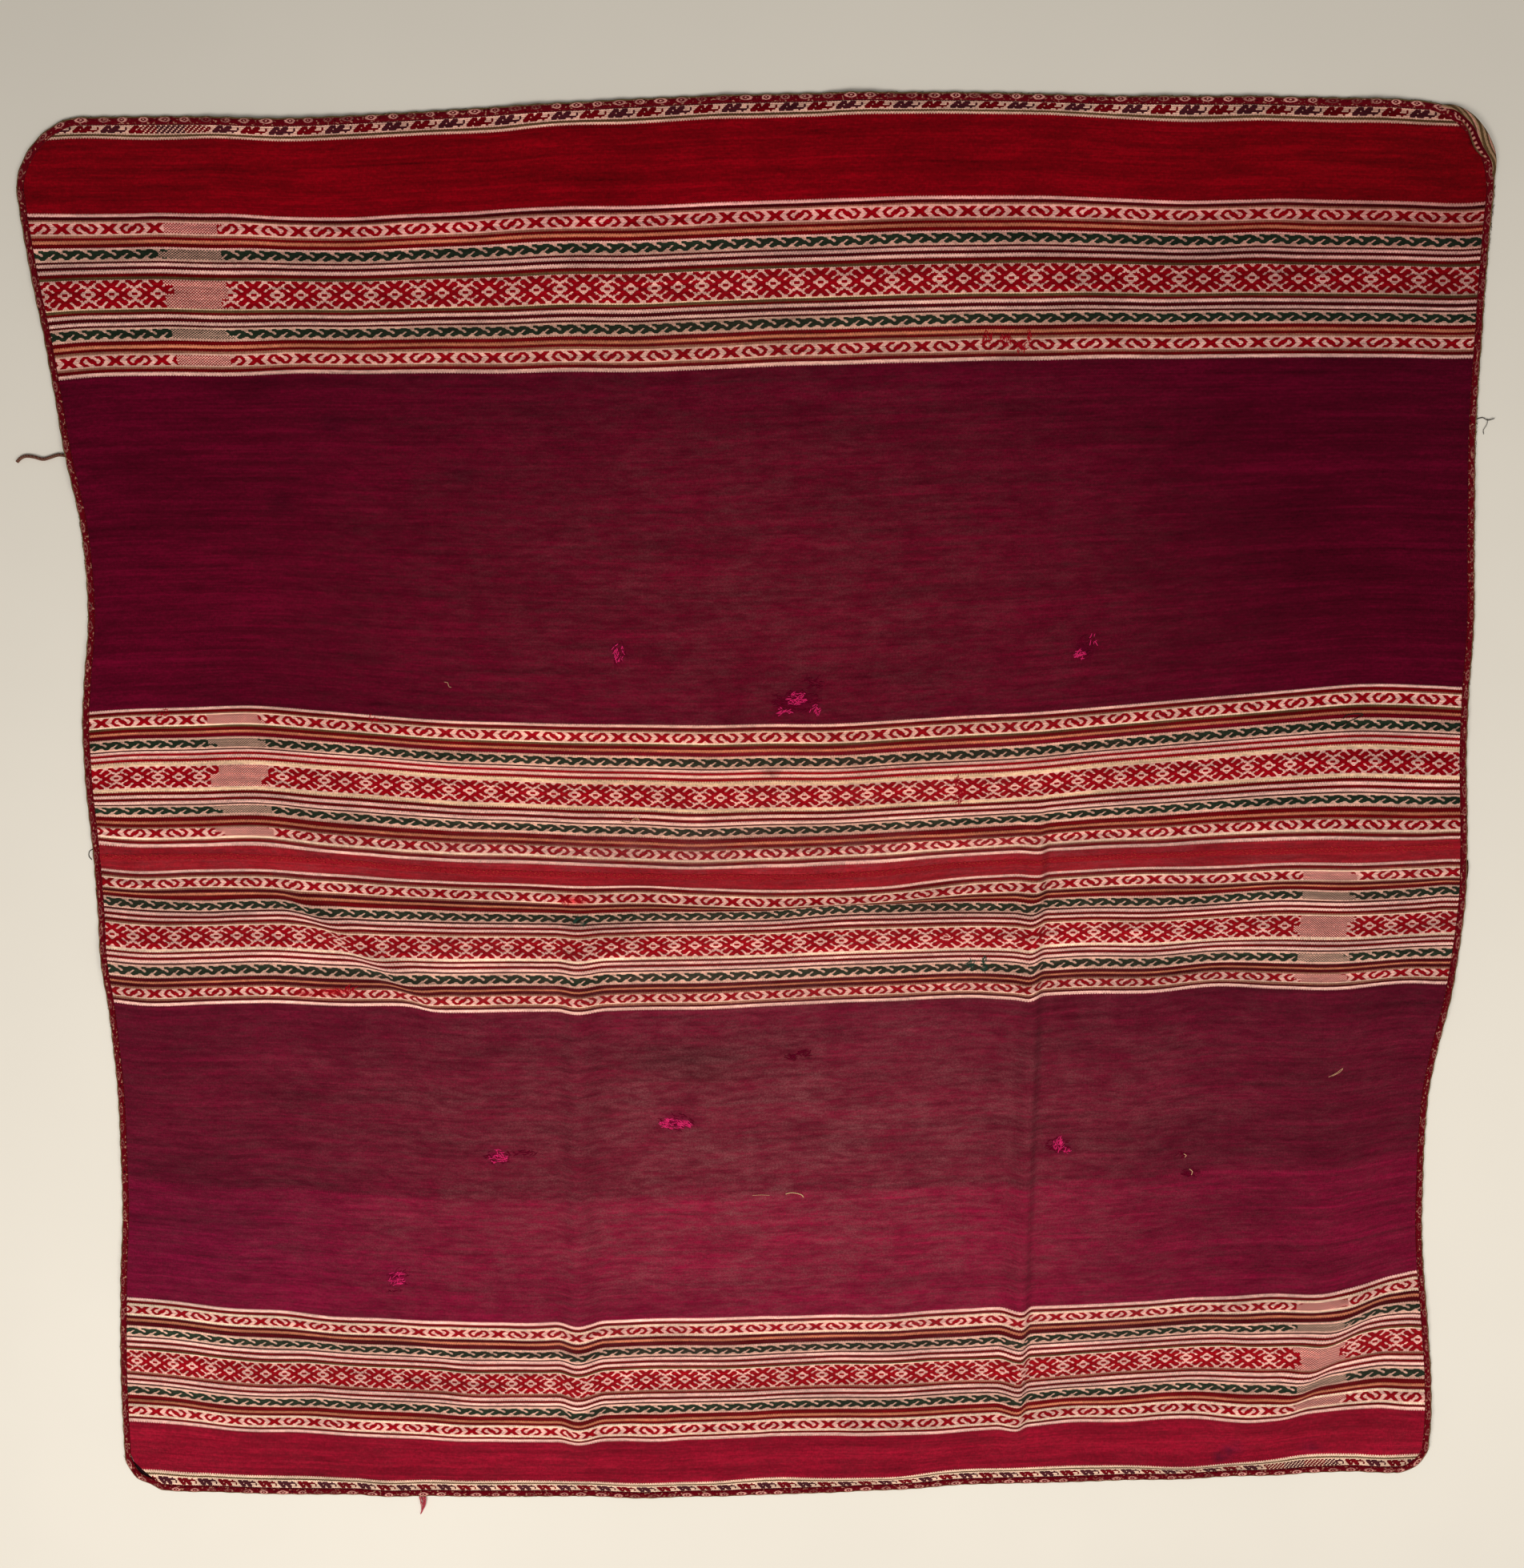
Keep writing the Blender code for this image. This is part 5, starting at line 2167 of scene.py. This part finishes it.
@dataclass
class WoolLock(Strands):
    """A small lock or knot of wool at the edge: a bundle of fibres round its solid's line."""

    route: Table
    outward: tuple[float, float]
    strands: int = 14
    stations: int = 12
    bulk: float = 0.72
    turns: Range = (1.0, 3.5)
    thicknesses: Range = (0.16, 0.24)
    least_radius: float = 0.12
    seed: int = 3

    def tubes(self) -> list[Tube]:
        """Bundle the fibres.

        Returns:
            Vertices and faces of each.
        """
        low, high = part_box(self.node)
        outward = np.array(self.outward)
        sideways = np.array([-outward[1], outward[0]])
        outs, alongs = self.route.column("out"), self.route.column("along")
        middle = 0.5 * (np.array(low.xy) + np.array(high.xy))
        reach = (np.array(high.xy) - np.array(low.xy)) @ np.abs(outward)
        root = middle - outward * (0.5 * reach) - outward * outs.min() * MM
        root = root - sideways * (0.5 * (alongs.max() + alongs.min()) * MM)
        draw = np.random.default_rng(self.seed)
        share = np.linspace(0.0, 1.0, self.stations)
        runs = distances(np.column_stack([outs, alongs]))
        columns = (self.route.column(name) for name in self.route.columns)
        out, along, width, height = (np.interp(share * runs[-1], runs, values) for values in columns)
        found = []
        for _ in range(self.strands):
            angle, spread = draw.uniform(0, math.tau), math.sqrt(draw.uniform(0.0, self.bulk))
            turn = angle + share * draw.uniform(*self.turns)
            thick = draw.uniform(*self.thicknesses)
            side = 0.5 * (width * (1 - thick)) * spread * np.cos(turn)
            up = 0.5 * height * (1 - thick) * spread * np.sin(turn)
            flat = root + outward * (out * MM)[:, None] + sideways * ((along + side) * MM)[:, None]
            radius = np.maximum(0.5 * thick * height, self.least_radius) * MM
            z = np.maximum((0.5 * height + up) * MM, radius)
            found.append(tube(np.column_stack([flat, z]), radius))
        return found


LOCK_COLUMNS = ("out", "along", "width", "height")
TUFT = Table(
    LOCK_COLUMNS,
    (
        (0.0, 0.0, 8.4, 3.0),
        (4.6, 0.6, 8.0, 3.2),
        (9.6, 0.5, 5.6, 2.8),
        (14.1, -0.8, 3.0, 2.0),
        (17.6, -2.2, 1.2, 1.2),
    ),
)
KNOT = Table(
    LOCK_COLUMNS,
    (
        (2.6, -7.5, 2.4, 2.0),
        (2.6, -3.0, 5.0, 3.4),
        (2.6, 3.0, 4.6, 3.4),
        (2.6, 7.5, 2.4, 2.0),
    ),
)
# The rolled corner's outer and inner edge and how high it stands, from its upper end on.
CORNER_FOLD = Table(
    ("x_out", "y_out", "x_in", "y_in", "top"),
    (
        (478.0, 547.0, 478.5, 542.6, 3.2),
        (486.5, 547.0, 487.5, 541.0, 3.6),
        (493.8, 544.4, 492.0, 536.6, 4.6),
        (500.6, 540.4, 496.6, 531.8, 5.2),
        (506.6, 535.0, 499.4, 527.4, 5.4),
        (511.8, 528.8, 501.2, 522.8, 5.4),
        (516.0, 522.2, 503.8, 517.8, 5.2),
        (519.0, 515.8, 507.6, 513.6, 4.8),
        (520.6, 509.6, 512.6, 509.8, 4.2),
        (521.0, 503.6, 515.8, 504.4, 3.6),
        (520.8, 498.0, 516.4, 497.6, 3.2),
    ),
)


@dataclass
class RolledCorner:
    """The upper right corner, where the edge has rolled over onto the cloth."""

    stations: int = 72
    sides: int = 26
    low_out: float = 0.2
    low_in: float = 1.7
    flute: float = 0.16
    flute_step: float = 2.4
    side_roundness: float = 0.8
    top_roundness: float = 0.7
    finish: RolledEdge = RolledEdge()

    def build(self) -> bpy.types.Object:
        """Roll the corner over.

        Returns:
            The fold, a closed piece on top of the panel's corner.
        """
        places = np.arange(len(CORNER_FOLD.rows))
        at = np.linspace(0, places[-1], self.stations)
        lines = (SmoothLine(places, CORNER_FOLD.column(name)) for name in CORNER_FOLD.columns)
        x_out, y_out, x_in, y_in, top = (line(at)[:, None] for line in lines)
        angles = math.tau * np.arange(self.sides) / self.sides
        share = 0.5 * (1 + np.sign(np.cos(angles)) * np.abs(np.cos(angles)) ** self.side_roundness)[None]
        x, y = x_in + (x_out - x_in) * share, y_in + (y_out - y_in) * share
        low = self.low_in + (self.low_out - self.low_in) * soft_step((share - 0.35) * 5, 2.0)
        rise = 0.5 * (1 + np.sign(np.sin(angles)) * np.abs(np.sin(angles)) ** self.top_roundness)[None]
        wide = np.hypot(x_out - x_in, y_out - y_in)
        flutes = np.cos(math.tau * share * wide / self.flute_step) * np.clip(np.sin(angles), 0, 1)[None]
        z = low + (top - low) * rise + self.flute * flutes
        run = distances(np.column_stack([x.mean(1), y.mean(1)]))[:, None] * MM
        ends = [np.array((values[0].mean(), values[-1].mean())) for values in (x, y, z)]
        points = np.concatenate([to_frame(x, y, z).reshape(-1, 3), to_frame(*ends)])
        faces = closed_tube(np.arange(x.size).reshape(x.shape), flipped=True)
        obj = add_mesh("corner_fold", points, faces, self.finish.material())
        spots = np.stack(np.broadcast_arrays(run, share, share * wide * MM), -1).reshape(-1, 3)
        set_attribute(obj.data, "fold", "FLOAT_VECTOR", "POINT", np.concatenate([spots, spots[[0, -1]]]))
        return settle(obj)


@dataclass
class CornerLiningAndShadow:
    """The dark turned-under edge in the gap beside the lower left corner, a near-black strip that paints the
    shadow in that gap.
    """

    under: float = 2.0
    least_gap: float = 0.4
    low: float = 0.15
    high: float = 0.75
    # Near-black wool: the painted shadow in the gap, over the turned-under edge.
    finish: SpunYarn = SpunYarn("lining_shadow_wool", (34, 8, 12), (20, 8, 10))

    def build(self) -> bpy.types.Object:
        """Lay the strip from under the panel to the binding.

        Returns:
            The strip, a closed piece.
        """
        binding = EdgeBinding()
        points, outward, _ = binding.stations()
        _, _, slack = binding.corner_values(points)
        wide = np.flatnonzero(slack > self.least_gap)
        points, outward, far = points[wide], outward[wide], (slack[wide] + binding.bite)[:, None]
        near = np.full_like(far, -self.under)
        reach = np.concatenate([near, far, far, near], 1)
        x, y = points[:, :1] + outward[:, :1] * reach, points[:, 1:] + outward[:, 1:] * reach
        z = np.broadcast_to(np.array([self.low, self.low, self.high, self.high]), x.shape)
        numbers = np.arange(x.size).reshape(x.shape)
        faces = around(numbers).tolist() + [numbers[0].tolist(), numbers[-1, ::-1].tolist()]
        obj = add_mesh("corner_lining_and_shadow", to_frame(x, y, z).reshape(-1, 3), faces, self.finish.material())
        return settle(obj)


class Fray(NamedTuple):
    """A frayed stretch of the binding: its middle and how far it reaches."""

    x: float
    y: float
    reach: float


FRAYS = (
    Fray(-252.0, -565.0, 30.0),
    Fray(-500.0, 262.0, 24.0),
    Fray(523.0, 322.0, 16.0),
    Fray(500.0, 270.0, 30.0),
    Fray(516.0, 470.0, 34.0),
    Fray(520.5, 494.0, 6.0),
)


@dataclass
class EdgeFuzz(Strands):
    """Short broken fibres standing out of the binding, thicker where it is frayed."""

    name: str = "edge_fuzz"
    slot: str = "binding_yarn"
    colour: Colour = (78, 60, 38)
    second: Colour = (70, 16, 22)
    spacing: float = 3.1
    scatter: float = 2.0
    chance: float = 0.55
    frayed_more: int = 3
    lean: float = 0.9
    curl: float = 0.5
    lengths: Range = (1.2, 2.6)
    frayed_length: float = 2.5
    root: float = 0.86
    side_scatter: float = 1.5
    outwardness: float = 0.55
    heights: Range = (0.25, 0.8)
    droop: float = 0.6
    radius: float = 0.13
    radii: Range = (0.7, 1.3)
    seed: int = 31

    def tubes(self) -> list[Tube]:
        """Set the fibres.

        Returns:
            Vertices and faces of each.
        """
        draw = np.random.default_rng(self.seed)
        points, outward, at = EdgeBinding().stations()
        count = round(at[-1] / self.spacing)
        found = []
        run = np.linspace(0, 1, 4)[:, None]
        places = np.linspace(0, at[-1], count, endpoint=False)
        for place in places + draw.uniform(-self.scatter, self.scatter, count):
            k = int(np.argmin(np.abs(at - place)))
            gaps = (math.hypot(points[k, 0] - fray.x, points[k, 1] - fray.y) / fray.reach for fray in FRAYS)
            near = max(math.exp(-gap) for gap in gaps)
            if draw.uniform() > self.chance + near:
                continue
            out = outward[k]
            side = np.array([-out[1], out[0]])
            for _ in range(1 + round(self.frayed_more * near)):
                lean = draw.normal(0, self.lean)
                length = draw.uniform(*self.lengths) + near * draw.uniform(0, self.frayed_length)
                start = points[k] + out * (GAP + BINDING_WIDTH * self.root)
                start = start + side * draw.uniform(-self.side_scatter, self.side_scatter)
                curl = draw.normal(0, self.curl) * run**2
                way = start + length * run * (out * self.outwardness + side * (lean + curl))
                z = BINDING_HEIGHT * draw.uniform(*self.heights) * (1 - self.droop * run[:, 0])
                radius = self.radius * draw.uniform(*self.radii) * MM
                found.append(tube(to_frame(way[:, 0], way[:, 1], z), radius, 4))
        return found


class Tangle(NamedTuple):
    """Where a knot of mending or pulled strands lies, how far it reaches and how it runs."""

    x: float
    y: float
    reach_x: float
    reach_y: float
    slant: float
    strands: int


@dataclass
class MendingYarn(Strands):
    """Short strands of one colour that were darned in, or have been pulled out of the weave."""

    tangles: Sequence[Tangle]
    seed: int
    length: float = 3.6
    radius: float = 0.36
    rise: float = 0.45
    sunk: float = 0.15
    wander: float = 0.45
    lengths: Range = (0.5, 1.5)
    bend: float = 0.35
    rises: Range = (0.2, 1.0)
    radii: Range = (0.7, 1.2)

    def tubes(self) -> list[Tube]:
        """Work the strands into the cloth.

        Returns:
            Vertices and faces of each.
        """
        draw = np.random.default_rng(self.seed)
        run = np.linspace(-0.5, 0.5, 5)
        found = []
        for tangle in self.tangles:
            for _ in range(tangle.strands):
                angle = draw.uniform(0, math.tau)
                spread = math.sqrt(draw.uniform(0, 1))
                x0 = tangle.x + tangle.reach_x * spread * math.cos(angle)
                y0 = tangle.y + tangle.reach_y * spread * math.sin(angle)
                heading = math.radians(tangle.slant) + draw.normal(0, self.wander)
                length = self.length * draw.uniform(*self.lengths)
                bend = draw.uniform(-self.bend, self.bend) * length
                x = x0 + run * length * math.cos(heading) - (run**2) * bend * math.sin(heading)
                y = y0 + run * length * math.sin(heading) + (run**2) * bend * math.cos(heading)
                height = self.rise * draw.uniform(*self.rises)
                z = LAY.lift(x, y) + CLOTH_THICK - self.sunk + height * np.cos(math.pi * run)
                found.append(tube(to_frame(x, y, z), self.radius * draw.uniform(*self.radii) * MM, 5))
        return found


class Thread(NamedTuple):
    """A stray thread: its points on the cloth and how thick it is."""

    points: tuple[tuple[float, float], ...]
    radius: float


@dataclass
class StrayThreads(Strands):
    """Loose bits of thread of one colour lying on the cloth or at its edge."""

    threads: Sequence[Thread]
    smoothness: int = 6
    lift: float = 0.8

    def tubes(self) -> list[Tube]:
        """Lay the threads.

        Returns:
            Vertices and faces of each.
        """
        found = []
        for thread in self.threads:
            bends = np.array(thread.points)
            runs = distances(bends)
            at = np.linspace(0, runs[-1], self.smoothness * (len(bends) - 1) + 1)
            x, y = (SmoothLine(runs, bends[:, k])(at) for k in (0, 1))
            z = LAY.lift(x, y) + self.ground(x, y) + thread.radius * self.lift
            found.append(tube(to_frame(x, y, z), thread.radius * MM))
        return found

    @staticmethod
    def ground(x: Array, y: Array) -> Array:
        """Find what lies under a thread: the cloth, its binding or the floor.

        Args:
            x: The thread's places along the cloth.
            y: Its places up it.

        Returns:
            The height of what is under it.
        """
        inside = np.minimum(x - LAY.side["left"](y), LAY.side["right"](y) - x)
        inside = np.minimum(inside, np.minimum(LAY.end["top"](x) - y, y - LAY.end["bottom"](x)))
        on_binding = soft_step(inside + 1.0, 2.0) * BINDING_HEIGHT
        return on_binding + soft_step(inside - INSET + 1.0, 2.0) * (CLOTH_THICK - BINDING_HEIGHT)


DARNS_BRIGHT = [
    Tangle(-117, 158, 5.0, 7.0, 85, 26),
    Tangle(235, 156, 4.0, 3.5, 30, 22),
    Tangle(245, 167, 3.0, 5.0, 60, 7),
    Tangle(20, 123, 8.0, 5.0, 20, 46),
    Tangle(34, 114, 4.0, 4.0, 40, 12),
    Tangle(10, 113.5, 6.0, 3.0, 0, 12),
    Tangle(-78, -221.5, 13.0, 4.5, -22, 80),
    Tangle(-223, -250, 8.0, 6.0, -15, 36),
    Tangle(231, -238, 4.0, 5.5, 80, 34),
    Tangle(238, -243, 3.0, 2.0, 20, 8),
    Tangle(-310, -357, 7.0, 6.0, 20, 34),
]
DARNS_DARK = [
    Tangle(-117, 158, 8.0, 8.0, 80, 26),
    Tangle(240, 163, 7.0, 9.0, 60, 44),
    Tangle(19, 121, 19.0, 8.0, 0, 120),
    Tangle(32, 135, 8.0, 5.0, 10, 26),
    Tangle(-76, -220, 16.0, 8.0, -20, 40),
    Tangle(-223, -251, 10.0, 7.0, -10, 30),
    Tangle(-203, -247, 12.0, 2.5, 5, 24),
    Tangle(231, -239, 10.0, 6.5, 0, 60),
    Tangle(-309, -356, 9.0, 8.0, 10, 30),
    Tangle(-312, -368, 5.0, 1.6, 5, 8),
    Tangle(338, -262, 7.0, 4.0, 0, 30),
    Tangle(331, -247, 5.0, 3.0, 0, 12),
    Tangle(15, -165, 5.0, 3.0, -20, 22),
    Tangle(27, -162, 7.0, 2.6, 20, 24),
]
SNAGS_RED = [
    Tangle(144, 59, 3.0, 4.0, 80, 16),
    Tangle(145, 46, 3.5, 5.0, 70, 18),
    Tangle(159, 389, 4.0, 4.0, 90, 18),
    Tangle(173, 387, 4.5, 4.0, 90, 24),
    Tangle(184, 382, 5.0, 4.0, 60, 22),
    Tangle(190, 389, 1.2, 7.0, 95, 10),
    Tangle(-374, -113, 8.0, 2.0, 5, 10),
    Tangle(-348, -111, 8.0, 2.5, 5, 18),
    Tangle(-336, -109, 5.0, 3.5, 60, 18),
    Tangle(-162, -37, 3.0, 3.0, 80, 10),
    Tangle(-149, -35, 3.0, 3.0, 80, 8),
    Tangle(140, -67, 5.0, 4.0, 20, 14),
    Tangle(-470, 113, 5.0, 3.0, 10, 10),
    Tangle(-305, 108, 6.0, 3.0, 60, 10),
]
SNAGS_GREEN = [
    Tangle(157, -88, 4.0, 3.0, 60, 14),
    Tangle(168, -88, 2.4, 6.0, 95, 18),
    Tangle(-152, -51, 9.0, 4.0, 30, 18),
]
TAN_THREADS = [
    Thread(((444, -181), (450, -177.5), (455, -173.5), (453, -176.5), (447, -180)), 0.22),
    Thread(((11, -280), (15, -279), (20, -279.5), (24, -281), (25.5, -283)), 0.5),
    Thread(((-16, -281.5), (-9, -281), (-2, -281.3)), 0.2),
    Thread(((-251, 136), (-248.5, 135.5), (-247.5, 132.5), (-245.8, 132)), 0.22),
    Thread(((332, -246), (334, -247.5), (333, -249)), 0.3),
    Thread(((337, -259), (339.5, -261), (339, -264)), 0.3),
    Thread(((-117, 27), (-111, 26), (-107, 29), (-103, 28), (-106, 31)), 0.3),
]
DARK_THREADS = [
    Thread(((437, 106.5), (440, 109.5), (446, 110.5), (452, 110), (449, 108), (441, 104), (437, 101.5)), 0.4),
    Thread(((521.4, 328.9), (526, 330), (530, 328.2), (534.6, 329.4)), 0.3),
    Thread(((530, 329), (529.5, 325), (527.5, 321), (528, 318)), 0.2),
    Thread(((-536, -4), (-538, -1), (-537, 3), (-533, 5)), 0.3),
]

# The loose yarn's route, out from the binding and along it.
YARN_ROUTE = Table(
    ("out", "along"),
    (
        (0.0, 0.0),
        (6.0, -0.6),
        (12.4, 1.2),
        (18.0, 2.5),
        (24.8, 0.8),
        (30.9, 0.2),
        (35.0, 1.8),
        (37.8, 4.4),
    ),
)


@dataclass
class LooseYarn:
    """The spun yarn that hangs out of the binding on the left."""

    diameter: float = 2.4
    leaves_at: float = 306.8
    points: int = 24
    finish: SpunYarn = SpunYarn("loose_yarn_wool", (96, 40, 38), (112, 96, 74), 0.0022)

    def route(self) -> Array:
        """Follow the yarn from the binding to its cut end.

        Returns:
            Its centre line in the row frame.
        """
        bends = np.array(YARN_ROUTE.rows)
        runs = distances(bends)
        at = np.linspace(0, runs[-1], self.points)
        out, along = (SmoothLine(runs, bends[:, k])(at) for k in (0, 1))
        _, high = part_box("loose_end_left")
        x, y = high.x - out * MM, (self.leaves_at + ORIGIN[1] - along) * MM
        return np.column_stack([x, y, np.full(self.points, 0.5 * self.diameter * MM)])

    def build(self) -> bpy.types.Object:
        """Lay the yarn.

        Returns:
            The yarn.
        """
        route = self.route()
        curve = bpy.data.curves.new("loose_yarn", "CURVE")
        curve.dimensions = "3D"
        spline = curve.splines.new("POLY")
        spline.points.add(len(route) - 1)
        for point, place in zip(spline.points, route):
            point.co = (*place, 1.0)
        curve.bevel_depth = 0.5 * self.diameter * MM
        curve.bevel_resolution = 4
        curve.use_fill_caps = True
        curve.materials.append(self.finish.material())
        obj = bpy.data.objects.new("loose_yarn", curve)
        bpy.context.scene.collection.objects.link(obj)
        settle(obj, "loose_end_left")
        return obj


class Lamp(NamedTuple):
    """A soft square light: its place, what it looks at, its side and its strength in watts."""

    name: str
    place: tuple[float, float, float]
    target: tuple[float, float, float]
    size: float
    power: float


@dataclass
class Studio:
    """A plain pale floor, soft light from above and the camera."""

    floor_size: float = 6.0
    floor_drop: float = 0.0002
    camera_place: tuple[float, float, float] = (0.0100, 0.2397, 1.0730)
    camera_turn: tuple[float, float, float] = (-9.311, 0.811, -0.178)
    lens: float = 32.16
    sensor: float = 36.0
    nearest: float = 0.01
    lamps: tuple[Lamp, ...] = (
        Lamp("key", (-0.66, -0.66, 1.35), (-0.1, -0.1, 0.0), 0.7, 14.5),
        Lamp("fill", (0.86, -0.50, 1.40), (0.2, -0.1, 0.0), 0.9, 12.5),
    )
    lamp_colour: tuple[float, float, float] = (1.0, 0.975, 0.94)
    air_colour: tuple[float, float, float, float] = (1.0, 0.98, 0.95, 1.0)
    air_strength: float = 0.22

    def camera(self) -> None:
        """Set the camera over the cloth, at the photograph's angle."""
        data = bpy.data.cameras.new("camera")
        data.lens = self.lens
        data.sensor_width = self.sensor
        data.clip_start = self.nearest
        obj = bpy.data.objects.new("camera", data)
        obj.location = self.camera_place
        obj.rotation_euler = [math.radians(angle) for angle in self.camera_turn]
        bpy.context.scene.collection.objects.link(obj)
        bpy.context.scene.camera = obj

    def floor(self) -> None:
        """Lay the floor under the cloth."""
        half = self.floor_size / 2
        points = np.array([(-half, -half, 0.0), (half, -half, 0.0), (half, half, 0.0), (-half, half, 0.0)])
        obj = add_mesh("floor", points, [[0, 1, 2, 3]], PaleFloor().material())
        obj.location.z = -self.floor_drop

    def light(self, lamp: Lamp) -> None:
        """Hang a lamp.

        Args:
            lamp: The lamp.
        """
        data = bpy.data.lights.new(lamp.name, "AREA")
        data.shape = "SQUARE"
        data.size = lamp.size
        data.energy = lamp.power
        data.color = self.lamp_colour
        obj = bpy.data.objects.new(lamp.name, data)
        obj.location = lamp.place
        way = Vector(lamp.target) - Vector(lamp.place)
        obj.rotation_euler = way.to_track_quat("-Z", "Y").to_euler()
        bpy.context.scene.collection.objects.link(obj)

    def build(self) -> None:
        """Set up the floor, the lights and the air's own light."""
        scene = bpy.context.scene
        scene.view_settings.view_transform = "Standard"
        scene.world = bpy.data.worlds.new("soft_room")
        scene.world.use_nodes = True
        back = scene.world.node_tree.nodes["Background"]
        back.inputs["Color"].default_value = self.air_colour
        back.inputs["Strength"].default_value = self.air_strength
        self.floor()
        for lamp in self.lamps:
            self.light(lamp)


def main() -> None:
    """Build the cloth piece by piece."""
    logging.basicConfig(level=logging.INFO, format="%(name)s: %(message)s")
    studio = Studio()
    studio.camera()
    LooseYarn().build()
    woven = WovenCloth("woven_wool").material()
    WovenPanel("upper", UPPER_LAYOUT, UPPER_WARPS, 0.0).build(woven)
    WovenPanel("lower", LOWER_LAYOUT, LOWER_WARPS, 0.02).build(woven)
    JoinSeam().build()
    Stitches().build()
    EdgeBinding().build()
    down, right = (0.0, -1.0), (1.0, 0.0)
    WoolLock("tuft_wool", "tuft_yarn", (206, 84, 96), (150, 30, 50), TUFT, down, node="tuft_bottom").build()
    dark, darker = (84, 10, 18), (58, 6, 12)
    WoolLock("seam_knot_wool", "seam_yarn", dark, darker, KNOT, right, seed=8, node="seam_knot").build()
    RolledCorner().build()
    CornerLiningAndShadow().build()
    EdgeFuzz().build()
    upper, lower = "wool_upper", "wool_lower"
    MendingYarn("darns_bright", lower, (206, 16, 92), (232, 60, 122), DARNS_BRIGHT, 21).build()
    MendingYarn("darns_dark", lower, (84, 0, 22), (110, 4, 42), DARNS_DARK, 22, rise=0.35).build()
    MendingYarn("snags_red", upper, (178, 14, 34), (150, 4, 20), SNAGS_RED, 23, length=3.4).build()
    MendingYarn("snags_green", lower, (34, 60, 48), (44, 78, 66), SNAGS_GREEN, 24, length=4.0).build()
    StrayThreads("threads_tan", lower, (222, 178, 134), (196, 140, 110), TAN_THREADS).build()
    StrayThreads("threads_dark", upper, (30, 26, 24), (52, 40, 34), DARK_THREADS).build()
    studio.build()


if __name__ == "__main__":
    main()
